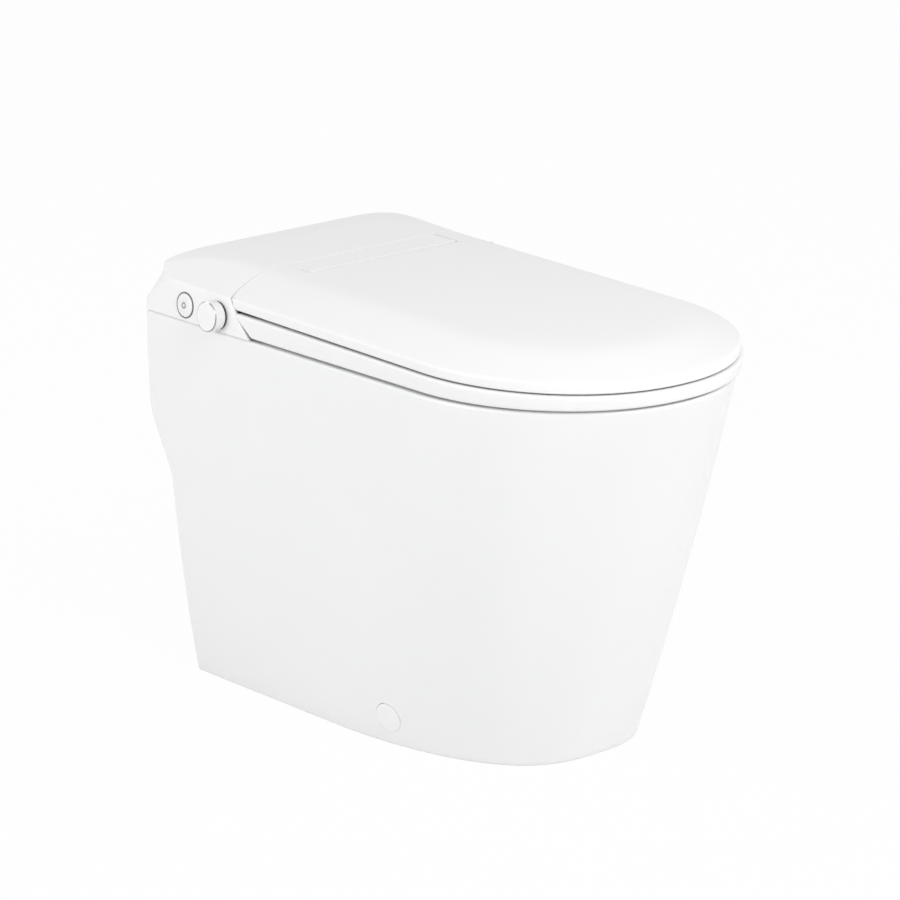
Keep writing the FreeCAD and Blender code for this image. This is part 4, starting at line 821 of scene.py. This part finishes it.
def swung(size, point, turn):
    """A point of the lid carried down and forward on its circle about the hinge line."""
    y, z = point[1] - size.hinge_y, point[2] - size.hinge_height
    c, s = math.cos(turn), math.sin(turn)
    return np.array([point[0], size.hinge_y + c * y - s * z, size.hinge_height + s * y + c * z])


def notch_lip(size, point, fall):
    """The lid's edge rolling down in front of the hinge strip, from under the edge to its top."""
    edge = point - (0.0, 0.0, fall)
    under = [swung(size, edge, turn) for turn in NOTCH_TURNS]
    roll = [point + (0.0, -ahead, -fall * share) for ahead, share in NOTCH_ROLL]
    return np.array(under + [edge] + roll)


def lid_row(size, inset, z, plan):
    """A row of the lid's top, which bends more gently toward the nose."""
    row = raised(plan, tipped(size, z, plan[:, 1]))
    gentler = crown(size, inset, NOSE_SOFT) - crown(size, inset)
    near = np.array([ease((UNIT_START + NOSE_BLEND / 4.0 - y) / NOSE_BLEND) for y in plan[:, 1]])
    row[:, 2] += gentler * ease(inset / NOSE_INSET) * near
    return row


def round_end(size, half, top, low):
    """The lid's round rear end below its top edge, as points on a circle about the hinge line."""
    reach = barrel_radius(half)
    high = math.asin(max(-1.0, min(1.0, (top - size.hinge_height) / reach)))
    deep = math.asin(max(-1.0, (low - size.hinge_height) / reach))
    turn = np.linspace(high, min(deep, high - BARREL_LEAST), BARREL_STEPS + 1)[1:]
    return np.column_stack([np.full(BARREL_STEPS, -half), size.hinge_y + reach * np.cos(turn),
                            size.hinge_height + reach * np.sin(turn)])


def lid_sheet(size):
    """The lid's outside: edge wall, crowned top, round rear ends and the notch for the hinge strip."""
    bottom = size.rim_height + LID_BOTTOM_RISE
    low = size.hinge_height - BARREL_DROP
    split = crease_half(size) - (size.strip_half_width + STRIP_SEAM)
    steps = [(LID_UNDER, bottom, 0.0)]
    for a in np.radians(np.linspace(0.0, LID_BRIM_TURN, 7)):
        steps.append((LID_WALL + LID_BRIM * (1.0 - math.sin(a)), bottom + LID_BRIM * (1.0 - math.cos(a)), 0.0))
    steps += crown_profile(size, LID_ROUND, bottom + LID_BRIM)
    steps = [(inset + LID_LEAN * max(size.crease_height - z, 0.0), z, facing) for inset, z, facing in steps]
    for span in LID_SPANS + ((LID_LAST, split, 2),):
        steps += crown_steps(size, *span)
    wall_rows, top_rows, notch_rows = [], [], []
    for inset, z, facing in steps:
        half = crease_half(size) - inset
        if facing < UPRIGHT:
            plan = lid_plan(size, inset, arm_y(size, z) - size.seam - END_ROUND)
            row = raised(plan, tipped(size, z, plan[:, 1]))
            wall_rows.append(edge_lip(row, 0.0, END_ROUND, END_DEPTH, 1.0))
            continue
        row = lid_row(size, inset, z, lid_plan(size, inset, seam_y(size, half, z, 0.0)))
        if not top_rows:
            wall_rows.append(edge_lip(row, facing, CREASE_ROUND, CREASE_DEPTH, 1.0))
        arc = round_end(size, half, row[0, 2], low)
        top_rows.append(np.concatenate([arc[::-1], row, arc * (-1.0, 1.0, 1.0)]))
    inner = crown_steps(size, split, CROWN_SPAN, 4) + crown_steps(size, *LID_MIDDLE)
    for k, (inset, z, _) in enumerate(inner):
        row = lid_row(size, inset, z, lid_plan(size, inset, None))
        left = notch_lip(size, row[0], min(k, 1) * NOTCH_FALL)
        notch_rows.append(np.concatenate([left, row[1:-1], left[::-1] * (-1.0, 1.0, 1.0)]))
    edge = top_rows[-1]
    back = BARREL_STEPS + END_STEPS + 1
    cheeks = []
    for part in (edge[:back], edge[-back:]):
        cheeks.append(skin([part, part * (1.0, 1.0, 0.0) + (0.0, 0.0, low)], False))
    return joined(skin(wall_rows, False), skin(top_rows, False), spanned(notch_rows), *cheeks)


def seat_plan(size, inset, z):
    """The outer outline of the seat with its two slanted rear tails."""
    half = SEAT_HALF - inset
    bar = SEAT_BAR_REAR - inset
    tail = max(arm_line(z - size.rim_height) - SEAT_GAP - inset, bar + TAIL_LEAST)
    cheek = -SEAT_TAIL - inset * TAIL_SPREAD
    left = np.concatenate([run((0.0, bar), (cheek, bar), 16)[:-1],
                           run((cheek, bar), (cheek, tail), 5),
                           run((-half, tail), (-half, UNIT_START), 44)[:-1]])
    nose = nose_arc(half, UNIT_START, SEAT_FRONT + inset, UNIT_SQUARE)
    right = left[1:][::-1] * (-1.0, 1.0)
    return np.concatenate([left, nose, right])


def tails_in(plan, inset):
    """The seat's outline with its tails pushed in to the rear bar."""
    return np.column_stack([plan[:, 0], np.minimum(plan[:, 1], SEAT_BAR_REAR - inset)])


def seat_sheet(size):
    """The heated seat as one closed ring with softened edges and a slightly dished top."""
    low = size.rim_height + SEAT_BOTTOM_RISE
    top = size.rim_height + SEAT_TOP_RISE
    outline = tails_in(seat_plan(size, 0.0, top), 0.0)
    ox, y0, y1 = SEAT_OPENING
    cy, oy = (y0 + y1) / 2.0, (y1 - y0) / 2.0
    turn = np.arctan2((outline[:, 1] - cy) / oy, outline[:, 0] / ox)
    around = np.column_stack([np.cos(turn), np.sin(turn)])

    def opening(grow):
        return around * (ox + grow, oy + grow) + (0.0, cy)

    def high(plan, down):
        fall = SEAT_FALL * (plan[:, 1] - SEAT_FRONT)
        return raised(plan, tipped(size, top, plan[:, 1]) - fall - down)

    r, f = SEAT_ROUND, SEAT_FOOT
    inset = f + SEAT_TUCK
    under = seat_plan(size, inset, low)
    rows = [raised(mix(opening(OPENING_UNDER), tails_in(under, inset), t), low) for t in (0.0, 0.5, 1.0)]
    rows.append(raised(under, low))
    for a in np.radians((30.0, 60.0, 90.0)):
        z = low + f * (1.0 - math.cos(a))
        rows.append(raised(seat_plan(size, SEAT_TUCK + f * (1.0 - math.sin(a)), z), z))
    foot = rows[-1]
    edge = high(seat_plan(size, 0.0, top - r), r)
    rows += [mix(foot, edge, t) for t in (0.33, 0.66, 1.0)]
    for a in np.radians((22.0, 45.0, 68.0, 90.0)):
        rows.append(high(seat_plan(size, r * (1.0 - math.cos(a)), top), r * (1.0 - math.sin(a))))
    brim = tails_in(seat_plan(size, r, top), r)
    inner = opening(OPENING_ROUND)
    for t in (0.0, 0.08, 0.25, 0.45, 0.65, 0.85, 1.0):
        rows.append(high(mix(brim, inner, t), SEAT_DISH * math.sin(math.pi * t) ** 2))
    for a in np.radians((20.0, 40.0, 60.0, 80.0, 90.0)):
        rows.append(high(opening(OPENING_ROUND * (1.0 - math.sin(a))), OPENING_DROP * (1.0 - math.cos(a))))
    rows.append(raised(opening(OPENING_WALL), low + f))
    rows.append(rows[0])
    return skin(rows, True)


def ear_plate(size, sign):
    """One of the seat's two hinge ears: a plate with a round top about the hinge line."""
    head = []
    for a in np.radians(np.linspace(*EAR_TURN, 20)):
        head.append((size.hinge_y + EAR_RADIUS * math.cos(a), size.hinge_height + EAR_RADIUS * math.sin(a)))
    return prism(head + EAR_FOOT, sign * EAR_NEAR, sign * EAR_FAR)


def panel_place(size, y):
    """Origin and outward direction of a control on the left side panel."""
    z = size.rim_height + CONTROL_RISE
    return np.array([-panel_half(size, z), y, z]), np.array([-1.0, 0.0, panel_lean(size)])


def cap_sheet(size, sign):
    """A fixing cap that follows the pedestal's skin, slightly proud with a rounded edge."""
    turn = np.linspace(0.0, 2.0 * math.pi, 64, endpoint=False)
    rows = []
    for share, proud in CAP_PROFILE:
        y = FIXING[0] + size.cap_radius * share * np.cos(turn)
        z = FIXING[1] + size.cap_radius * share * np.sin(turn)
        x = [sign * (side_x(size, b, c) + proud) for b, c in zip(y, z)]
        rows.append(np.column_stack([x, y, z]))
    return skin(rows, True)


def cap_well(size, sign):
    """The shallow round well that a fixing cap sits in."""
    wide = size.cap_radius + WELL_GAP
    profile = [(0.0, -WELL_DEPTH), (wide, -WELL_DEPTH), (wide, WELL_REACH), (0.0, WELL_REACH)]
    return lathe(profile, (sign * side_x(size, *FIXING), *FIXING), (sign, 0.0, 0.0))


class TOILET_OT_pedestal(bpy.types.Operator):
    """Build the glazed pedestal with its bowl and side caps"""
    bl_idname = "toilet.pedestal"
    bl_label = "Pedestal"

    def execute(self, context):
        size, looks = context.scene.toilet_sizes, context.scene.toilet_finishes
        piece = make_piece("glazed_pedestal", pedestal_sheet(size), glaze(looks), "ceramic", "pedestal",
                           "ceramic_body")
        throat = lathe([(0.0, 0.0), (THROAT_RADIUS, 0.0), (THROAT_RADIUS, THROAT_LENGTH), (0.0, THROAT_LENGTH)],
                       (0.0, SUMP[2], THROAT_HEIGHT), (0.0, 1.0, 0.0))
        cut_out(piece, block(*POCKET), throat, cap_well(size, -1.0), cap_well(size, 1.0))
        make_piece("fixing_caps", joined(cap_sheet(size, -1.0), cap_sheet(size, 1.0)), gloss_shell(looks),
                   "white_gloss", "pedestal", "side_caps")
        return {"FINISHED"}


class TOILET_OT_cover(bpy.types.Operator):
    """Build the rear cover and the hinge strip"""
    bl_idname = "toilet.cover"
    bl_label = "Rear cover"

    def execute(self, context):
        size, looks = context.scene.toilet_sizes, context.scene.toilet_finishes
        cover = make_piece("rear_cover_shell", cover_sheet(size), gloss_shell(looks), "white_gloss", "pedestal",
                           "rear_cover", outward=UP)
        thicken(cover, COVER_WALL)
        strip = make_piece("hinge_strip_cap", strip_sheet(size), gloss_shell(looks), "white_gloss", "pedestal",
                           "hinge_strip")
        soften(strip, STRIP_ROUND, 3)
        return {"FINISHED"}


class TOILET_OT_lid(bpy.types.Operator):
    """Build the lid"""
    bl_idname = "toilet.lid"
    bl_label = "Lid"

    def execute(self, context):
        size, looks = context.scene.toilet_sizes, context.scene.toilet_finishes
        lid = make_piece("lid_top", lid_sheet(size), gloss_shell(looks), "white_gloss", "lid", "lid_shell",
                         outward=UP)
        thicken(lid, LID_THICKNESS)
        return {"FINISHED"}


class TOILET_OT_seat(bpy.types.Operator):
    """Build the seat ring with its hinge ears"""
    bl_idname = "toilet.seat"
    bl_label = "Seat"

    def execute(self, context):
        size, looks = context.scene.toilet_sizes, context.scene.toilet_finishes
        shape = joined(seat_sheet(size), ear_plate(size, -1.0), ear_plate(size, 1.0))
        seat = make_piece("seat_shell", shape, gloss_shell(looks), "white_gloss", "seat",
                          "seat_ring", "seat_base")
        seat.data.set_sharp_from_angle(angle=SEAT_SHARP)
        return {"FINISHED"}


class TOILET_OT_controls(bpy.types.Operator):
    """Build the flush button and the turning knob"""
    bl_idname = "toilet.controls"
    bl_label = "Button and knob"

    def execute(self, context):
        size, looks = context.scene.toilet_sizes, context.scene.toilet_finishes
        self.button(size, looks)
        self.knob(size, looks)
        return {"FINISHED"}

    def button(self, size, looks):
        """A domed button in a thin dark ring, with a small ring for a mark."""
        spot, out = panel_place(size, size.button_y)
        r = size.button_radius
        ring = [(r + 0.0003, -0.002), (r + 0.0003, 0.0006), (r + 0.0005, 0.0009), (r + 0.0009, 0.0010),
                (r + 0.0013, 0.0007), (r + 0.0015, 0.0002), (r + 0.0015, -0.002), (r + 0.0003, -0.002)]
        make_piece("button_surround", lathe(ring, spot, out), dark_trim(looks), "dark_trim", "pedestal",
                   "button_bezel")
        dome = [(0.0, 0.0022), (0.3 * r, 0.0021), (0.6 * r, 0.0019), (0.85 * r, 0.0016), (0.95 * r, 0.0013),
                (0.985 * r, 0.0009), (r, 0.0003), (r, -0.004), (0.0, -0.004)]
        face = finish("key_plastic", looks.key_face, 0.22, grain=0.03)
        make_piece("button_face", lathe(dome, spot, out), face, "pale_grey", "push_button", "flush_button")
        mark = [(0.0020, 0.0018), (0.0020, 0.00235), (0.0024, 0.0025), (0.0032, 0.0025), (0.0036, 0.0023),
                (0.0036, 0.0018), (0.0020, 0.0018)]
        ink = finish("mark_ink", (0.30, 0.30, 0.305), 0.4, mottle=0.08)
        make_piece("button_mark", lathe(mark, spot, out), ink, "dark_trim", "push_button")

    def knob(self, size, looks):
        """A round knob with a metal edge and a scoop at its top, over a dark ring that paints the shade at its
        foot.
        """
        spot, out = panel_place(size, size.knob_y)
        k, h, foot = size.knob_radius, size.knob_reach, KNOB_FOOT
        grip = [(0.0, foot), (0.90 * k, foot), (0.955 * k, foot + 0.0003), (0.985 * k, foot + 0.0010),
                (k, h - 0.0020), (0.995 * k, h - 0.0012), (0.955 * k, h - 0.0010), (0.950 * k, h - 0.0003),
                (0.93 * k, h), (0.6 * k, h + 0.0003), (0.3 * k, h + 0.0004), (0.0, h + 0.0004)]
        knob = make_piece("knob_grip", lathe(grip, spot, out, 96), gloss_shell(looks), "white_gloss",
                          "turn_knob", "knob")
        band = [(0.960 * k, h - 0.0016), (k + 0.0001, h - 0.0016), (k + 0.0001, h - 0.0010),
                (0.985 * k, h - 0.0004), (0.968 * k, h - 0.0003), (0.955 * k, h - 0.0007),
                (0.960 * k, h - 0.0016)]
        ring = make_piece("knob_band", lathe(band, spot, out, 96), edge_metal(looks), "bright_rim", "turn_knob",
                          "knob_rim")
        dip = spot + out / np.linalg.norm(out) * (h + SCOOP_OUT) + (0.0, 0.0, k + SCOOP_RISE)
        turn = np.linspace(0.0, math.pi, 17)
        ball = [(SCOOP_RADIUS * math.sin(a), -SCOOP_RADIUS * math.cos(a)) for a in turn]
        cut_out(knob, lathe(ball, dip, out, 32))
        cut_out(ring, lathe(ball, dip, out, 32))
        # The dark ring round the knob's foot is painted shade: it stands for the shadow in the gap between knob
        # and panel.
        foot_shade = [(0.84 * k, 0.0001), (0.93 * k, 0.0001), (0.95 * k, 0.0005), (0.95 * k, 0.0012),
                 (0.84 * k, 0.0012), (0.84 * k, 0.0001)]
        make_piece("knob_foot_shade", lathe(foot_shade, spot, out), dark_trim(looks), "dark_trim", "pedestal")


class TOILET_OT_inner_parts(bpy.types.Operator):
    """Give the carried-over pieces their finishes"""
    bl_idname = "toilet.inner_parts"
    bl_label = "Inner parts"

    def execute(self, context):
        looks = context.scene.toilet_finishes
        finishes = {
            "ceramic": glaze(looks),
            "white_gloss": gloss_shell(looks),
            "pale_grey": finish("pale_moulding", (0.62, 0.63, 0.64), 0.35, grain=0.08),
            "dark_trim": dark_trim(looks),
            "bright_rim": finish("bright_metal", (0.72, 0.73, 0.74), 0.18, mottle=0.04, mottle_scale=80.0,
                                 grain=0.03, metallic=1.0),
            "white_matte": finish("white_moulding", looks.matte, 0.45, mottle=0.03, grain=0.12,
                                  grain_scale=600.0),
            "grey_plastic": finish("grey_moulding", looks.grey, 0.45, mottle=0.06, grain=0.15,
                                   grain_scale=600.0),
            "black_plastic": finish("black_moulding", (0.03, 0.03, 0.032), 0.42, mottle=0.15, grain=0.15),
            "board": finish("circuit_board", (0.02, 0.16, 0.07), 0.38, mottle=0.25, mottle_scale=70.0,
                            grain=0.2),
            "steel": finish("turned_steel", (0.60, 0.61, 0.62), 0.28, mottle=0.08, mottle_scale=50.0,
                            metallic=1.0),
            "brass": finish("cast_brass", (0.62, 0.46, 0.20), 0.30, mottle=0.12, mottle_scale=40.0,
                            metallic=1.0),
            "rubber": finish("seal_rubber", looks.rubber, 0.75, mottle=0.2, grain=0.3, grain_scale=500.0),
            "soft_white": finish("soft_stops", (0.66, 0.66, 0.65), 0.65, mottle=0.05, grain=0.2),
            "heater_foil": finish("heater_foil", (0.70, 0.68, 0.64), 0.32, mottle=0.1, mottle_scale=120.0,
                                  metallic=0.8),
        }
        for item in frame["record"]["subparts"]:
            thing = frame["nodes"][item["node"]]
            thing.data.materials.clear()
            thing.data.materials.append(finishes[item["material_slot"]])
        return {"FINISHED"}


class TOILET_OT_stage(bpy.types.Operator):
    """Set the floor, the light and the camera"""
    bl_idname = "toilet.stage"
    bl_label = "Stage"

    def execute(self, context):
        scene, stage = context.scene, context.scene.toilet_stage
        scene.view_settings.view_transform = "Standard"
        grid = np.linspace(-FLOOR_HALF, FLOOR_HALF, 7)
        sheet = skin([np.array([(x, y, 0.0) for x in grid]) for y in grid], False)
        floor = bpy.data.objects.new("studio_floor", make_mesh("studio_floor", sheet, UP))
        scene.collection.objects.link(floor)
        floor.data.materials.append(self.paper())
        self.backdrop(scene, stage.fill_level)
        self.lamp("top_softbox", *TOP_LAMP, stage.top_power)
        self.lamp("left_softbox", *LEFT_LAMP, stage.left_power)
        self.lamp("right_softbox", *RIGHT_LAMP, stage.right_power)
        camera = bpy.data.objects.new("camera", bpy.data.cameras.new("camera"))
        scene.collection.objects.link(camera)
        camera.data.sensor_width = FRAME_WIDTH
        camera.data.lens = stage.lens
        camera.data.clip_end = CAMERA_END
        a, e = stage.azimuth, stage.elevation
        back = Vector((math.sin(a) * math.cos(e), -math.cos(a) * math.cos(e), math.sin(e)))
        camera.location = Vector(CAMERA_AIM) + back * CAMERA_DISTANCE
        camera.rotation_euler = back.to_track_quat("Z", "Y").to_euler()
        scene.camera = camera
        return {"FINISHED"}

    def seen(self, nodes, link):
        """One for what the camera, a reflection or glass shows, nought for what lights the object."""
        path = nodes.new("ShaderNodeLightPath")
        direct = nodes.new("ShaderNodeMath")
        direct.operation = "MAXIMUM"
        through = nodes.new("ShaderNodeMath")
        through.operation = "MAXIMUM"
        link(path.outputs["Is Camera Ray"], direct.inputs[0])
        link(path.outputs["Is Glossy Ray"], direct.inputs[1])
        link(direct.outputs["Value"], through.inputs[0])
        link(path.outputs["Is Transmission Ray"], through.inputs[1])
        return through.outputs["Value"]

    def paper(self):
        """White paper that shows nearly even white to the camera and still takes a soft shadow."""
        material = bpy.data.materials.new("studio_paper")
        material.use_nodes = True
        nodes, link = material.node_tree.nodes, material.node_tree.links.new
        nodes.remove(nodes["Principled BSDF"])
        matte = nodes.new("ShaderNodeBsdfDiffuse")
        matte.inputs["Color"].default_value = PAPER_TONE
        white = nodes.new("ShaderNodeEmission")
        white.inputs["Strength"].default_value = 1.0
        share = nodes.new("ShaderNodeMath")
        share.operation = "MULTIPLY"
        share.inputs[1].default_value = PAPER_WHITE
        blend = nodes.new("ShaderNodeMixShader")
        link(self.seen(nodes, link), share.inputs[0])
        link(share.outputs["Value"], blend.inputs["Fac"])
        link(matte.outputs["BSDF"], blend.inputs[1])
        link(white.outputs["Emission"], blend.inputs[2])
        link(blend.outputs["Shader"], nodes["Material Output"].inputs["Surface"])
        return material

    def backdrop(self, scene, level):
        """White to the eye, plain even light to the object."""
        world = bpy.data.worlds.new("studio_world")
        scene.world = world
        world.use_nodes = True
        nodes, link = world.node_tree.nodes, world.node_tree.links.new
        plain = nodes["Background"]
        plain.inputs["Color"].default_value = WHITE
        plain.inputs["Strength"].default_value = level
        white = nodes.new("ShaderNodeBackground")
        white.inputs["Color"].default_value = WHITE
        white.inputs["Strength"].default_value = 1.0
        blend = nodes.new("ShaderNodeMixShader")
        link(self.seen(nodes, link), blend.inputs["Fac"])
        link(plain.outputs["Background"], blend.inputs[1])
        link(white.outputs["Background"], blend.inputs[2])
        link(blend.outputs["Shader"], nodes["World Output"].inputs["Surface"])

    def lamp(self, name, place, width, power):
        """A square soft lamp turned toward the object."""
        data = bpy.data.lights.new(name, "AREA")
        data.shape = "SQUARE"
        data.size = width
        data.energy = power
        lamp = bpy.data.objects.new(name, data)
        bpy.context.scene.collection.objects.link(lamp)
        lamp.location = place
        lamp.rotation_euler = (Vector(place) - Vector(LAMP_AIM)).to_track_quat("Z", "Y").to_euler()


PIECES = (TOILET_OT_pedestal, TOILET_OT_cover, TOILET_OT_lid, TOILET_OT_seat, TOILET_OT_controls,
          TOILET_OT_inner_parts, TOILET_OT_stage)


class TOILET_PT_pieces(bpy.types.Panel):
    """Buttons for every piece of the toilet"""
    bl_idname = "TOILET_PT_pieces"
    bl_label = "Toilet"
    bl_space_type = "VIEW_3D"
    bl_region_type = "UI"
    bl_category = "Toilet"

    def draw(self, context):
        column = self.layout.column(align=True)
        for piece in PIECES:
            column.operator(piece.bl_idname)
        for group in ("toilet_sizes", "toilet_finishes", "toilet_stage"):
            values = getattr(context.scene, group)
            for name in values.__annotations__:
                self.layout.prop(values, name)


CLASSES = (ToiletSizes, ToiletFinishes, ToiletStage) + PIECES + (TOILET_PT_pieces,)


def register():
    """Make the sizes, finishes, pieces and panel known to Blender."""
    for item in CLASSES:
        bpy.utils.register_class(item)
    bpy.types.Scene.toilet_sizes = PointerProperty(type=ToiletSizes)
    bpy.types.Scene.toilet_finishes = PointerProperty(type=ToiletFinishes)
    bpy.types.Scene.toilet_stage = PointerProperty(type=ToiletStage)


def unregister():
    """Take them out again, in the other order."""
    del bpy.types.Scene.toilet_stage
    del bpy.types.Scene.toilet_finishes
    del bpy.types.Scene.toilet_sizes
    for item in reversed(CLASSES):
        bpy.utils.unregister_class(item)


def main():
    """Build every piece."""
    register()
    bpy.ops.toilet.inner_parts()
    bpy.ops.toilet.pedestal()
    bpy.ops.toilet.cover()
    bpy.ops.toilet.lid()
    bpy.ops.toilet.seat()
    bpy.ops.toilet.controls()
    bpy.ops.toilet.stage()


if __name__ == "__main__":
    main()
